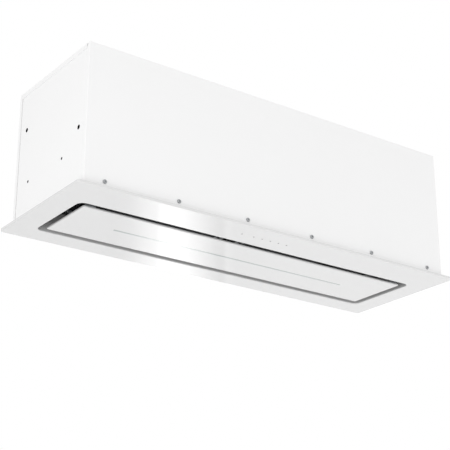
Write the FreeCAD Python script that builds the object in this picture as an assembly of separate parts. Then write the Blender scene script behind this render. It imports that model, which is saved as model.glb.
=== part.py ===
import FreeCAD, Part
import math
import os

# Built-in ceiling range hood with perimeter extraction. Millimetres.
# The origin is the centre of the ceiling cut-out, in the plane of the ceiling's lower face.
# +X runs along the hood from left to right, +Y away from the touch keys, +Z up into the ceiling.

# ---- driving dimensions: flange frame ----
FLANGE_LENGTH = 900.0          # overall, along X
FLANGE_WIDTH = 300.0           # overall, along Y
FLANGE_DEPTH = 5.0             # how far the frame hangs below the ceiling
FLANGE_CORNER_R = 6.0
FRAME_SHEET = 1.5
RETURN_WIDTH = 10.0            # width of the returned edge that lies against the ceiling
EDGE_BEND = 1.4                # outside bend of the flange's lower edge
OPENING_LENGTH = 800.0
OPENING_WIDTH = 170.0
OPENING_SHIFT = 16.0           # the opening is moved away from the key side
OPENING_CORNER_R = 14.0
LIP_BEND = 1.8                 # outside bend where the skin turns up into the lip

# ---- driving dimensions: box ----
BOX_LENGTH = 864.0
BOX_WIDTH = 270.0
LID_HEIGHT = 284.0             # every height is measured from the frame's underside
FRONT_RISE = 1.0               # how far the front panel stands above the lid
LID_RIM_SHOW = 10.0            # height of the lid's rim that is seen above the end panel
BOX_SHEET = 1.0
WRAP = 9.0                     # how far the long panels wrap round the corners
RIM_GAP = 0.5
TOP_FLANGE = 14.0              # inward flange at the top of each end panel
LID_RIM_INSIDE = 12.0          # depth of the lid's rims inside the long panels
WALL_BEND = 1.8                # outside bend of the box's vertical corners

# ---- driving dimensions: side screws ----
SIDE_SCREWS = 6
SIDE_SCREW_PITCH = 156.0
SIDE_SCREW_HEIGHT = 19.0
M4_HEAD_R = 4.0
M4_HEAD_HEIGHT = 2.4
M4_SHANK_R = 2.0
M4_SHANK_LENGTH = 7.0
SCREW_CLEARANCE = 0.05
CROSS_WIDTH = 0.9
CROSS_DEPTH = 1.2

# ---- driving dimensions: end panel holes (distance from the box's middle, height) ----
BRACKET_HOLE_R = 3.5
BRACKET_HOLES = [(100.0, 197.5), (-106.5, 124.0)]
PILOT_HOLE_R = 1.9
PILOT_HOLES = [(-48.5, 84.0), (82.0, 84.0)]

# ---- driving dimensions: suction panel ----
SUCTION_GAP = 15.0
PANEL_EDGE = 3.0
PANEL_SHEET = 1.2
PANEL_CORNER_R = 3.0
PANEL_BEND = 1.8
BACKING_SETBACK = 28.0
BACKING_HEIGHT = 14.0
BACKING_SHEET = 1.0
BACKING_FOOT = 6.0

# ---- driving dimensions: light ----
LIGHT_LENGTH = 560.0
LIGHT_SLOT = 6.0
LIGHT_FIT = 0.2
DIFFUSER_FLANGE = 3.0
DIFFUSER_FLANGE_THICK = 1.0
CHANNEL_HEIGHT = 7.0
CHANNEL_WALL = 1.2
LIGHT_STRIP_THICK = 1.4

# ---- driving dimensions: panel hinges ----
HINGE_CORNER_GAP = 0.5         # between a leaf and the start of the panel's rounded corner
HINGE_LEAF_WIDTH = 23.0
HINGE_PIN_R = 2.0
HINGE_PIN_HEAD_R = 3.2
HINGE_PIN_HEAD = 1.2
HINGE_RUNNING_FIT = 0.06
HINGE_PRESS_FIT = 0.01
HINGE_FROM_LIP = 11.0
HINGE_HEIGHT = 9.0
HINGE_KNUCKLE_R = 3.5
HINGE_SIDE_PLAY = 0.5
HINGE_EAR = 2.0
HINGE_LEAF_THICK = 1.5
HINGE_BASE_HEIGHT = 22.0

# ---- driving dimensions: magnetic catches ----
CATCH_FROM_MIDDLE = 300.0
CATCH_LENGTH = 36.0
CATCH_REACH = 40.0
CATCH_HEIGHT = 10.0
CATCH_GAP = 0.3
STRIKER_LENGTH = 30.0
STRIKER_WIDTH = 14.0
STRIKER_THICK = 1.5
STRIKER_EDGE_GAP = 3.0

# ---- driving dimensions: filter carrier and grease filters ----
CARRIER_HEIGHT = 44.0
CARRIER_SHEET = 1.0
CENTRE_BAR = 30.0
CARRIER_SIDE_LEDGE = 10.0      # plate left inside the lip at the long sides
CARRIER_END_LEDGE = 9.0        # plate left inside the lip at the ends
FILTER_OVERLAP = 6.0           # how far each end of a filter lies on the plate
FILTER_SIDE_PLAY = 2.0
FILTER_THICK = 10.0
FILTER_PACK = 3.0              # the metal of the open layers, pressed flat
FILTER_SIDE_RAIL = 12.0
FILTER_END_RAIL = 26.0
FILTER_SHEET = 0.8
LUG_FROM_END = 18.0
LUG_BACK = 5.0                 # reach of the lug's base either side of the pivot
LUG_FRONT = 3.5
LUG_EAR = 1.2
LUG_PLAY = 0.6                 # between the folded pull and the lug's base
PULL_WIDTH = 30.0
PULL_LENGTH = 18.0
PULL_WIRE_R = 1.25
PULL_FIT = 0.06

# ---- driving dimensions: touch keys ----
POWER_KEY_X = -72.0
KEYS = 5                       # beside the power key
FIRST_KEY_X = -43.8
KEY_PITCH = 19.8
KEY_FROM_WALL = 26.5           # distance of the key row from the outside of the box's long wall
KEY_LENS_R = 1.6
KEY_FIT = 0.05
KEY_BOARD_MARGIN = 14.0
KEY_BOARD_WIDTH = 24.0
KEY_BOARD_THICK = 1.6
KEY_TRAY_WALL = 1.5
KEY_TRAY_HEIGHT = 9.0

# ---- driving dimensions: blower ----
BLOWER_SHIFT = -20.0           # the impeller's axis, from the box's middle
WHEEL_R = 75.0
BLADE_DEPTH = 12.0
BLADE_THICK = 1.2
BLADES = 32
WHEEL_HALF = 66.0
WHEEL_DISC = 2.0
WHEEL_RING = 4.0
TONGUE_GAP = 7.0
TONGUE_ANGLE = 110.0
SCROLL_END_R = 122.0
SCROLL_WIDTH = 150.0
SCROLL_SHEET = 1.0
SCROLL_POINTS = 11
INLET_R = 60.0
INLET_ROLL = 5.0

# ---- driving dimensions: motor ----
SHAFT_R = 4.0
SHAFT_RUNNING_FIT = 0.03
MOTOR_R = 42.0
MOTOR_LENGTH = 58.0
MOTOR_WALL = 1.5
MOTOR_TO_DISC = 4.0
BEARING_R = 11.0
BEARING_WIDTH = 7.0
STATOR_WALL = 15.0
STATOR_LENGTH = 30.0
ROTOR_AIR_GAP = 0.6
ROTOR_LENGTH = 28.0
WHEEL_HUB_R = 15.0
WHEEL_HUB_LENGTH = 20.0
SPIDER_ARMS = 3
SPIDER_SHEET = 2.0
SPIDER_ARM_WIDTH = 14.0
SPIDER_HUB_R = 30.0
SPIDER_FOOT_REACH = 12.0
GROMMET_R = 6.0
GROMMET_THICK = 3.0

# ---- driving dimensions: duct collar and damper ----
COLLAR_R = 74.5
COLLAR_WALL = 1.2
COLLAR_HEIGHT = 38.0
COLLAR_FLANGE = 12.0
COLLAR_SCREWS = 4
SEAT_WIDTH = 7.0
SEAT_THICK = 2.0
DAMPER_PIN_R = 1.5
DAMPER_PIN_FIT = 0.06
DAMPER_KNUCKLE_R = 3.2
DAMPER_KNUCKLE_LENGTH = 10.0
DAMPER_KNUCKLES = [45.0, 22.0]
FLAP_THICK = 1.2
FLAP_SEAT_GAP = 0.3
FLAP_RIM_GAP = 1.8
FLAP_EDGE = 3.8                # from the pin's middle to a flap's straight edge
FLAP_DROP = 0.5                # from the pin's middle down to a flap's upper face

# ---- driving dimensions: electrics ----
CONTROL_LENGTH = 170.0
CONTROL_WIDTH = 110.0
CONTROL_HEIGHT = 52.0
CONTROL_WALL = 2.0
CONTROL_FROM_SCROLL = 60.0
BOARD_THICK = 1.6
BOARD_MARGIN = 5.0
BOARD_STANDOFF = 6.0
TRANSFORMER_LENGTH = 36.0
TRANSFORMER_WIDTH = 30.0
TRANSFORMER_HEIGHT = 26.0
RELAYS = 2
RELAY_PITCH = 20.0
RELAY_LENGTH = 14.0
RELAY_WIDTH = 28.0
RELAY_HEIGHT = 16.0
TERMINAL_WAYS = 5
TERMINAL_PITCH = 9.0
TERMINAL_WIDTH = 18.0
TERMINAL_HEIGHT = 16.0
CAPACITOR_R = 15.0
CAPACITOR_LENGTH = 58.0
DRIVER_LENGTH = 110.0
DRIVER_WIDTH = 42.0
DRIVER_HEIGHT = 26.0
ELECTRICS_SPACE = 15.0
GLAND_THREAD_R = 10.0
GLAND_NUT_R = 13.5
GLAND_BORE_R = 5.0
GLAND_HEIGHT = 20.0
GLAND_NUT = 6.0
GLAND_DOME_BEND = 4.0
GLAND_DOME_STEP = 2.0          # how far the dome stands inside the hexagon's corners

# ---- driving dimensions: suspension ----
HANGER_SPACING_X = 780.0
HANGER_SPACING_Y = 200.0
HANGER_HOLE_R = 4.5
HANGER_PLATE = 40.0
HANGER_THICK = 3.0

# ---- places that follow from the driving dimensions ----
UNDERSIDE = -FLANGE_DEPTH
SKIN_TOP = UNDERSIDE + FRAME_SHEET
LID_TOP = UNDERSIDE + LID_HEIGHT
LID_UNDER = LID_TOP - BOX_SHEET
FRONT_TOP = LID_TOP + FRONT_RISE
LID_RIM_LOW = LID_TOP - LID_RIM_SHOW
HALF_X = BOX_LENGTH / 2
HALF_Y = BOX_WIDTH / 2
END_INSIDE = HALF_X - 2 * BOX_SHEET
LONG_INSIDE = HALF_Y - BOX_SHEET
OPENING_X = OPENING_LENGTH / 2
OPENING_NEAR = OPENING_SHIFT - OPENING_WIDTH / 2
OPENING_FAR = OPENING_SHIFT + OPENING_WIDTH / 2
PANEL_X = OPENING_X - SUCTION_GAP
PANEL_NEAR = OPENING_NEAR + SUCTION_GAP
PANEL_FAR = OPENING_FAR - SUCTION_GAP
PANEL_BACK = UNDERSIDE + PANEL_SHEET
CARRIER_UNDER = UNDERSIDE + CARRIER_HEIGHT
CARRIER_TOP = CARRIER_UNDER + CARRIER_SHEET
HINGE_Y = OPENING_NEAR + HINGE_FROM_LIP
HINGE_Z = UNDERSIDE + HINGE_HEIGHT
HINGE_X = PANEL_X - PANEL_CORNER_R - HINGE_CORNER_GAP - HINGE_LEAF_WIDTH / 2
TONGUE_R = WHEEL_R + TONGUE_GAP
# The wheel sits midway between the filters and the lid, as far as the scroll reaches down and up.
SCROLL_DROP = TONGUE_R + (270 - TONGUE_ANGLE) / (360 - TONGUE_ANGLE) * (SCROLL_END_R - TONGUE_R)
TONGUE_RISE = TONGUE_R * math.sin(math.radians(TONGUE_ANGLE))
WHEEL_Z = (CARRIER_TOP + FILTER_THICK + SCROLL_DROP + LID_UNDER - TONGUE_RISE) / 2
OUTLET_FAR = BLOWER_SHIFT + SCROLL_END_R
OUTLET_NEAR = BLOWER_SHIFT + TONGUE_R * math.cos(math.radians(TONGUE_ANGLE))
OUTLET_Y = (OUTLET_FAR + OUTLET_NEAR) / 2
COLLAR_INNER = COLLAR_R - COLLAR_WALL
CONTROL_X = SCROLL_WIDTH / 2 + CONTROL_FROM_SCROLL
KEY_Y = -HALF_Y + KEY_FROM_WALL
KEY_PLACES = [POWER_KEY_X] + [FIRST_KEY_X + index * KEY_PITCH for index in range(KEYS)]

X_AXIS = FreeCAD.Vector(1, 0, 0)
Y_AXIS = FreeCAD.Vector(0, 1, 0)
Z_AXIS = FreeCAD.Vector(0, 0, 1)


# ---- shapes used by several pieces ----
def block(x0, x1, y0, y1, z0, z1):
    """Box between two corners."""
    return Part.makeBox(x1 - x0, y1 - y0, z1 - z0, FreeCAD.Vector(x0, y0, z0))


def rod(x, y, z, axis, radius, length):
    """Cylinder that starts at a point and runs along an axis."""
    return Part.makeCylinder(radius, length, FreeCAD.Vector(x, y, z), axis)


def tube(x, y, z, axis, radius, bore, length):
    return rod(x, y, z, axis, radius, length).cut(rod(x, y, z, axis, bore, length))


def rounded_block(x0, x1, y0, y1, z0, z1, radius):
    """Box with its four upright edges rounded."""
    solid = block(x0, x1, y0, y1, z0, z1)
    upright = [edge for edge in solid.Edges if abs(edge.tangentAt(edge.FirstParameter).z) > 0.99]
    return solid.makeFillet(radius, upright)


def bend_edges(solid, radius, level, inside):
    """Round the edges that lie in the plane z = level, at the opening or at the rim."""
    chosen = []
    for edge in solid.Edges:
        box = edge.BoundBox
        if abs(box.ZMin - level) > 0.01 or abs(box.ZMax - level) > 0.01:
            continue
        middle = edge.valueAt((edge.FirstParameter + edge.LastParameter) / 2)
        if inside(middle):
            chosen.append(edge)
    return solid.makeFillet(radius, chosen)


def mirrored(solids):
    """The same pieces on the other end of the hood."""
    return [solid.mirror(FreeCAD.Vector(0, 0, 0), X_AXIS) for solid in solids]


def one_of(solids):
    """Join touching shapes into one solid."""
    joined = solids[0]
    for other in solids[1:]:
        joined = joined.fuse(other)
    return joined.removeSplitter()


def group(solids):
    return Part.makeCompound(solids)


def pan_screw(x, y, z, into, length):
    """Pan-head screw with a cross recess. Its head seats at the point; into is the way it is driven."""
    back = into * -1
    head = rod(x, y, z, back, M4_HEAD_R, M4_HEAD_HEIGHT)
    rim = [edge for edge in head.Edges if edge.Curve.TypeId == "Part::GeomCircle"]
    seat = FreeCAD.Vector(x, y, z)
    far_rim = [edge for edge in rim if (edge.CenterOfMass - seat).Length > M4_HEAD_HEIGHT / 2]
    head = head.makeFillet(M4_HEAD_HEIGHT * 0.6, far_rim)
    shank = rod(x, y, z, into, M4_SHANK_R, length)
    across = Y_AXIS if abs(into.y) < 0.5 else X_AXIS
    top = seat + back * (M4_HEAD_HEIGHT - CROSS_DEPTH)
    recess = None
    for turn in (0, 90):
        arm = Part.makeBox(M4_HEAD_R, CROSS_WIDTH, CROSS_DEPTH * 2)
        arm.translate(FreeCAD.Vector(-M4_HEAD_R / 2, -CROSS_WIDTH / 2, 0))
        arm.rotate(FreeCAD.Vector(0, 0, 0), Z_AXIS, turn)
        recess = arm if recess is None else recess.fuse(arm)
    recess.Placement = FreeCAD.Placement(top, FreeCAD.Rotation(across, back.cross(across), back, "ZXY"))
    return head.fuse(shank).cut(recess)


# ---- flange frame ----
def frame_bezel():
    """Folded sheet frame: skin, returned edge against the ceiling, lip turned up round the opening."""
    half_l = FLANGE_LENGTH / 2
    half_w = FLANGE_WIDTH / 2
    rim = rounded_block(-half_l, half_l, -half_w, half_w, UNDERSIDE, 0, FLANGE_CORNER_R)
    rim = bend_edges(rim, EDGE_BEND, UNDERSIDE, lambda p: True)
    wall = FRAME_SHEET
    hollow = rounded_block(-half_l + wall, half_l - wall, -half_w + wall, half_w - wall,
                           SKIN_TOP, -wall, FLANGE_CORNER_R - wall)
    inset = RETURN_WIDTH
    window = rounded_block(-half_l + inset, half_l - inset, -half_w + inset, half_w - inset,
                           -2 * wall, wall, FLANGE_CORNER_R / 2)
    tray = rim.cut(hollow).cut(window)
    lip = rounded_block(-OPENING_X - wall, OPENING_X + wall, OPENING_NEAR - wall, OPENING_FAR + wall,
                        UNDERSIDE, CARRIER_UNDER, OPENING_CORNER_R + wall)
    tray = tray.fuse(lip)
    mouth = rounded_block(-OPENING_X, OPENING_X, OPENING_NEAR, OPENING_FAR,
                          UNDERSIDE - wall, CARRIER_UNDER + wall, OPENING_CORNER_R)
    tray = tray.cut(mouth).removeSplitter()
    inside_rim = FRAME_SHEET * 2

    def at_mouth(point):
        near_x = abs(point.x) < OPENING_X + inside_rim
        near_y = OPENING_NEAR - inside_rim < point.y < OPENING_FAR + inside_rim
        return near_x and near_y

    tray = bend_edges(tray, LIP_BEND, UNDERSIDE, at_mouth)
    for x in KEY_PLACES:
        tray = tray.cut(rod(x, KEY_Y, UNDERSIDE - 1, Z_AXIS, KEY_LENS_R, FRAME_SHEET + 2))
    return tray


def key_lenses():
    """Light windows of the touch keys, flush with the skin."""
    return group([rod(x, KEY_Y, UNDERSIDE, Z_AXIS, KEY_LENS_R - KEY_FIT, FRAME_SHEET) for x in KEY_PLACES])


def key_extent():
    """Touch board in plan: low and high x, near and far y."""
    low = min(KEY_PLACES) - KEY_BOARD_MARGIN
    high = max(KEY_PLACES) + KEY_BOARD_MARGIN
    return low, high, KEY_Y - KEY_BOARD_WIDTH / 2, KEY_Y + KEY_BOARD_WIDTH / 2


def key_board():
    """Touch board that lies on the skin, over the lenses."""
    low, high, near, far = key_extent()
    return block(low, high, near, far, SKIN_TOP, SKIN_TOP + KEY_BOARD_THICK)


def key_cover():
    """Moulded cover over the touch board."""
    low, high, near, far = key_extent()
    wall = KEY_TRAY_WALL
    outer = block(low - wall - KEY_FIT, high + wall + KEY_FIT, near - wall - KEY_FIT, far + wall + KEY_FIT,
                  SKIN_TOP, SKIN_TOP + KEY_TRAY_HEIGHT)
    inner = block(low - KEY_FIT, high + KEY_FIT, near - KEY_FIT, far + KEY_FIT,
                  SKIN_TOP - 1, SKIN_TOP + KEY_TRAY_HEIGHT - wall)
    return outer.cut(inner)


# ---- box ----
def side_screw_places():
    start = -(SIDE_SCREWS - 1) * SIDE_SCREW_PITCH / 2
    return [start + index * SIDE_SCREW_PITCH for index in range(SIDE_SCREWS)]


def long_panel(side, top):
    """Sheet panel along one long side, wrapped round both box corners. side is -1 near, 1 far."""
    outer = block(-HALF_X, HALF_X, side * HALF_Y if side < 0 else HALF_Y - WRAP,
                  -HALF_Y + WRAP if side < 0 else HALF_Y, SKIN_TOP, top)
    corner = [edge for edge in outer.Edges
              if abs(edge.tangentAt(edge.FirstParameter).z) > 0.99
              and abs(edge.CenterOfMass.y - side * HALF_Y) < 0.01]
    outer = outer.makeFillet(WALL_BEND, corner)
    deep = WRAP + 1
    inner_y0 = -HALF_Y + BOX_SHEET if side < 0 else HALF_Y - BOX_SHEET - deep
    inner = block(-HALF_X + BOX_SHEET, HALF_X - BOX_SHEET, inner_y0, inner_y0 + deep, SKIN_TOP - 1, top + 1)
    inner_corner = [edge for edge in inner.Edges
                    if abs(edge.tangentAt(edge.FirstParameter).z) > 0.99
                    and abs(edge.CenterOfMass.y - side * (HALF_Y - BOX_SHEET)) < 0.01]
    inner = inner.makeFillet(WALL_BEND - BOX_SHEET, inner_corner)
    panel = outer.cut(inner)
    for x in side_screw_places():
        start = side * (HALF_Y + 1)
        hole = rod(x, start, UNDERSIDE + SIDE_SCREW_HEIGHT, Y_AXIS * -side,
                   M4_SHANK_R + SCREW_CLEARANCE, BOX_SHEET + 2)
        panel = panel.cut(hole)
    return panel


def front_panel():
    """Near panel, taller than the lid. Its wraps are cut on a slant down to the end panels' edge."""
    panel = long_panel(-1, FRONT_TOP)
    low = LID_RIM_LOW
    corners = [FreeCAD.Vector(0, -HALF_Y + WALL_BEND, FRONT_TOP + 1),
               FreeCAD.Vector(0, -HALF_Y + WALL_BEND, FRONT_TOP),
               FreeCAD.Vector(0, -HALF_Y + WRAP, low),
               FreeCAD.Vector(0, -HALF_Y + WRAP + 1, low),
               FreeCAD.Vector(0, -HALF_Y + WRAP + 1, FRONT_TOP + 1)]
    face = Part.Face(Part.makePolygon(corners + corners[:1]))
    for side in (-1, 1):
        slant = face.extrude(X_AXIS * (4 * BOX_SHEET))
        slant.translate(X_AXIS * (side * HALF_X - 2 * BOX_SHEET))
        panel = panel.cut(slant)
    return panel


def rear_panel():
    return long_panel(1, LID_TOP)


def end_panel():
    """Right end panel with a flange under the lid. It stands inside the wraps of the long panels."""
    outside = HALF_X - BOX_SHEET
    sheet = block(outside - BOX_SHEET, outside, -LONG_INSIDE, LONG_INSIDE, SKIN_TOP, LID_UNDER)
    flange = block(outside - TOP_FLANGE, outside,
                   -LONG_INSIDE + LID_RIM_INSIDE, LONG_INSIDE - LID_RIM_INSIDE,
                   LID_UNDER - BOX_SHEET, LID_UNDER)
    bend = block(outside - TOP_FLANGE, outside, -HALF_Y, -LONG_INSIDE, SKIN_TOP, LID_UNDER)
    panel = sheet.fuse(flange).cut(bend)
    corner_r = WALL_BEND - BOX_SHEET
    upright = [edge for edge in panel.Edges
               if abs(edge.tangentAt(edge.FirstParameter).z) > 0.99
               and abs(edge.CenterOfMass.x - outside) < 0.01
               and abs(abs(edge.CenterOfMass.y) - LONG_INSIDE) < 0.01]
    panel = panel.makeFillet(corner_r, upright)
    for places, radius in ((BRACKET_HOLES, BRACKET_HOLE_R), (PILOT_HOLES, PILOT_HOLE_R)):
        for y, height in places:
            start = outside - 3 * BOX_SHEET
            panel = panel.cut(rod(start, y, UNDERSIDE + height, X_AXIS, radius, 5 * BOX_SHEET))
    for x, y in lid_screw_places():
        panel = panel.cut(rod(x, y, LID_UNDER - 2 * BOX_SHEET, Z_AXIS,
                              M4_SHANK_R + SCREW_CLEARANCE, 4 * BOX_SHEET))
    return panel


def lid_screw_places():
    """Three screws at each end, through the lid into the end panel's flange."""
    x = HALF_X - BOX_SHEET - TOP_FLANGE / 2
    return [(side * x, y) for side in (-1, 1) for y in (-HALF_Y / 2, 0, HALF_Y / 2)]


def hanger_places():
    return [(sx * HANGER_SPACING_X / 2, sy * HANGER_SPACING_Y / 2) for sx in (-1, 1) for sy in (-1, 1)]


def collar_screw_places():
    radius = COLLAR_R + COLLAR_FLANGE / 2
    places = []
    for index in range(COLLAR_SCREWS):
        turn = math.radians(45 + 360 / COLLAR_SCREWS * index)
        places.append((radius * math.cos(turn), OUTLET_Y + radius * math.sin(turn)))
    return places


def gland_place():
    low, high, near, far = control_extent()
    return high + ELECTRICS_SPACE + GLAND_NUT_R, (near + far) / 2


def lid():
    """Top sheet with short rims over the ends and deep rims inside the long panels."""
    top = block(-HALF_X, HALF_X, -LONG_INSIDE, LONG_INSIDE, LID_UNDER, LID_TOP)
    wrap_play = WRAP + RIM_GAP
    for side in (-1, 1):
        for end in (-1, 1):
            x0 = HALF_X - WALL_BEND if end > 0 else -HALF_X
            y0 = HALF_Y - wrap_play if side > 0 else -HALF_Y
            top = top.cut(block(x0, x0 + WALL_BEND, y0, y0 + wrap_play, LID_UNDER - 1, LID_TOP + 1))
        x0 = HALF_X - BOX_SHEET if side > 0 else -HALF_X
        top = top.fuse(block(x0, x0 + BOX_SHEET, -HALF_Y + wrap_play, HALF_Y - wrap_play,
                             LID_RIM_LOW + RIM_GAP, LID_TOP))
        y0 = LONG_INSIDE - BOX_SHEET if side > 0 else -LONG_INSIDE
        rim_low = LID_UNDER - LID_RIM_INSIDE
        top = top.fuse(block(-END_INSIDE, END_INSIDE, y0, y0 + BOX_SHEET, rim_low, LID_TOP))
    top = top.removeSplitter()
    top = top.cut(rod(0, OUTLET_Y, LID_UNDER - 1, Z_AXIS, COLLAR_INNER, 3))
    for x, y in lid_screw_places() + collar_screw_places():
        top = top.cut(rod(x, y, LID_UNDER - 1, Z_AXIS, M4_SHANK_R + SCREW_CLEARANCE, 3))
    for x, y in hanger_places():
        top = top.cut(rod(x, y, LID_UNDER - 1, Z_AXIS, HANGER_HOLE_R, 3))
    gland_x, gland_y = gland_place()
    return top.cut(rod(gland_x, gland_y, LID_UNDER - 1, Z_AXIS, GLAND_THREAD_R + SCREW_CLEARANCE, 3))


def hanger_plates():
    """Thick plates under the lid, which carry the hood on four suspension rods."""
    half = HANGER_PLATE / 2
    plates = []
    for x, y in hanger_places():
        reach = min(half, LONG_INSIDE - BOX_SHEET - abs(y))
        plate = block(x - half, x + half, y - reach, y + reach, LID_UNDER - HANGER_THICK, LID_UNDER)
        plate = plate.cut(rod(x, y, LID_UNDER - HANGER_THICK - 1, Z_AXIS, HANGER_HOLE_R, HANGER_THICK + 2))
        trim = HALF_X - BOX_SHEET - TOP_FLANGE - RIM_GAP
        side = 1 if x > 0 else -1
        cut_x = trim if side > 0 else -trim - HANGER_PLATE
        plates.append(plate.cut(block(cut_x, cut_x + HANGER_PLATE, y - half, y + half,
                                      LID_UNDER - HANGER_THICK - 1, LID_UNDER + 1)))
    return group(plates)


def side_screws():
    screws = []
    for side in (-1, 1):
        for x in side_screw_places():
            screws.append(pan_screw(x, side * HALF_Y, UNDERSIDE + SIDE_SCREW_HEIGHT, Y_AXIS * -side,
                                    M4_SHANK_LENGTH))
    return group(screws)


def lid_screws():
    return group([pan_screw(x, y, LID_TOP, Z_AXIS * -1, M4_SHANK_LENGTH) for x, y in lid_screw_places()])


# ---- filter carrier ----
def carrier_window():
    """Low and high corner of the right-hand filter window in the plate."""
    return (CENTRE_BAR / 2, OPENING_X - CARRIER_END_LEDGE,
            OPENING_NEAR + CARRIER_SIDE_LEDGE, OPENING_FAR - CARRIER_SIDE_LEDGE)


def filter_carrier():
    """Plate that shuts the blower room off, with a skirt down to the frame and two filter windows."""
    wall = CARRIER_SHEET
    outer = block(-END_INSIDE, END_INSIDE, -LONG_INSIDE, LONG_INSIDE, SKIN_TOP, CARRIER_TOP)
    inner = block(-END_INSIDE + wall, END_INSIDE - wall, -LONG_INSIDE + wall, LONG_INSIDE - wall,
                  SKIN_TOP - 1, CARRIER_UNDER)
    plate = outer.cut(inner)
    x0, x1, y0, y1 = carrier_window()
    window = block(x0, x1, y0, y1, CARRIER_UNDER - 1, CARRIER_TOP + 1)
    plate = plate.cut(window).cut(mirrored([window])[0])
    for x in side_screw_places():
        for side in (-1, 1):
            plate = plate.cut(rod(x, side * (HALF_Y + 1), UNDERSIDE + SIDE_SCREW_HEIGHT, Y_AXIS * -side,
                                  M4_SHANK_R + SCREW_CLEARANCE, 2 * BOX_SHEET + 3))
    return plate


# ---- suction panel ----
def light_slot():
    half = LIGHT_LENGTH / 2
    return block(-half, half, OPENING_SHIFT - LIGHT_SLOT / 2, OPENING_SHIFT + LIGHT_SLOT / 2,
                 UNDERSIDE - 1, PANEL_BACK + 1)


def panel_skin():
    """Shallow folded pan, flush with the frame, with a slot for the light."""
    rim = UNDERSIDE + PANEL_EDGE
    pan = rounded_block(-PANEL_X, PANEL_X, PANEL_NEAR, PANEL_FAR, UNDERSIDE, rim, PANEL_CORNER_R)
    pan = bend_edges(pan, PANEL_BEND, UNDERSIDE, lambda p: True)
    wall = PANEL_SHEET
    hollow = rounded_block(-PANEL_X + wall, PANEL_X - wall, PANEL_NEAR + wall, PANEL_FAR - wall,
                           PANEL_BACK, rim + 1, PANEL_CORNER_R - wall)
    hollow = bend_edges(hollow, PANEL_BEND - wall, PANEL_BACK, lambda p: True)
    return pan.cut(hollow).cut(light_slot())


def channel_extent():
    """Outside of the light channel: half length and half width."""
    half_l = LIGHT_LENGTH / 2 + DIFFUSER_FLANGE + LIGHT_FIT + CHANNEL_WALL
    half_w = LIGHT_SLOT / 2 + DIFFUSER_FLANGE + LIGHT_FIT + CHANNEL_WALL
    return half_l, half_w


def panel_backing():
    """Stiffening pan on the back of the skin, with feet spot-welded to it."""
    x1 = PANEL_X - BACKING_SETBACK
    y0 = PANEL_NEAR + BACKING_SETBACK
    y1 = PANEL_FAR - BACKING_SETBACK
    top = UNDERSIDE + BACKING_HEIGHT
    wall = BACKING_SHEET
    foot = block(-x1 - BACKING_FOOT, x1 + BACKING_FOOT, y0 - BACKING_FOOT, y1 + BACKING_FOOT,
                 PANEL_BACK, PANEL_BACK + wall)
    hat = block(-x1, x1, y0, y1, PANEL_BACK, top)
    room = block(-x1 + wall, x1 - wall, y0 + wall, y1 - wall, PANEL_BACK - 1, top - wall)
    return foot.fuse(hat).cut(room).removeSplitter()


def light_diffuser():
    """Opal strip with a flange, snapped into the slot from behind."""
    half_l = LIGHT_LENGTH / 2 - LIGHT_FIT
    half_w = LIGHT_SLOT / 2 - LIGHT_FIT
    nose = block(-half_l, half_l, OPENING_SHIFT - half_w, OPENING_SHIFT + half_w, UNDERSIDE, PANEL_BACK)
    flange_l = LIGHT_LENGTH / 2 + DIFFUSER_FLANGE
    flange_w = LIGHT_SLOT / 2 + DIFFUSER_FLANGE
    flange = block(-flange_l, flange_l, OPENING_SHIFT - flange_w, OPENING_SHIFT + flange_w,
                   PANEL_BACK, PANEL_BACK + DIFFUSER_FLANGE_THICK)
    return one_of([nose, flange])


def light_channel():
    """Aluminium channel glued over the diffuser."""
    half_l, half_w = channel_extent()
    top = PANEL_BACK + CHANNEL_HEIGHT
    outer = block(-half_l, half_l, OPENING_SHIFT - half_w, OPENING_SHIFT + half_w, PANEL_BACK, top)
    wall = CHANNEL_WALL
    inner_w = half_w - wall
    inner = block(-half_l + wall, half_l - wall, OPENING_SHIFT - inner_w, OPENING_SHIFT + inner_w,
                  PANEL_BACK - 1, top - wall)
    return outer.cut(inner)


def light_strip():
    half_l, half_w = channel_extent()
    under = PANEL_BACK + CHANNEL_HEIGHT - CHANNEL_WALL
    margin = CHANNEL_WALL + LIGHT_FIT
    return block(-half_l + margin, half_l - margin, OPENING_SHIFT - half_w + margin,
                 OPENING_SHIFT + half_w - margin, under - LIGHT_STRIP_THICK, under)


def hinge_leaves():
    """Leaf behind the panel's near wall, which reaches forward over it to a knuckle on the pin."""
    half = HINGE_LEAF_WIDTH / 2
    x0 = HINGE_X - half
    x1 = HINGE_X + half
    thick = HINGE_LEAF_THICK
    back = PANEL_NEAR + PANEL_SHEET
    strap_top = HINGE_Z + HINGE_KNUCKLE_R - 1
    foot_z = PANEL_BACK + PANEL_BEND - PANEL_SHEET
    upright = block(x0, x1, back, back + thick, foot_z, strap_top)
    strap = block(x0, x1, HINGE_Y, back + thick, strap_top - thick, strap_top)
    knuckle = rod(x0, HINGE_Y, HINGE_Z, X_AXIS, HINGE_KNUCKLE_R, HINGE_LEAF_WIDTH)
    bore = rod(x0 - 1, HINGE_Y, HINGE_Z, X_AXIS, HINGE_PIN_R + HINGE_RUNNING_FIT, HINGE_LEAF_WIDTH + 2)
    leaf = one_of([upright, strap, knuckle]).cut(bore)
    return group([leaf] + mirrored([leaf]))


def hinge_bracket_width():
    return HINGE_LEAF_WIDTH + 2 * (HINGE_SIDE_PLAY + HINGE_EAR)


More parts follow.
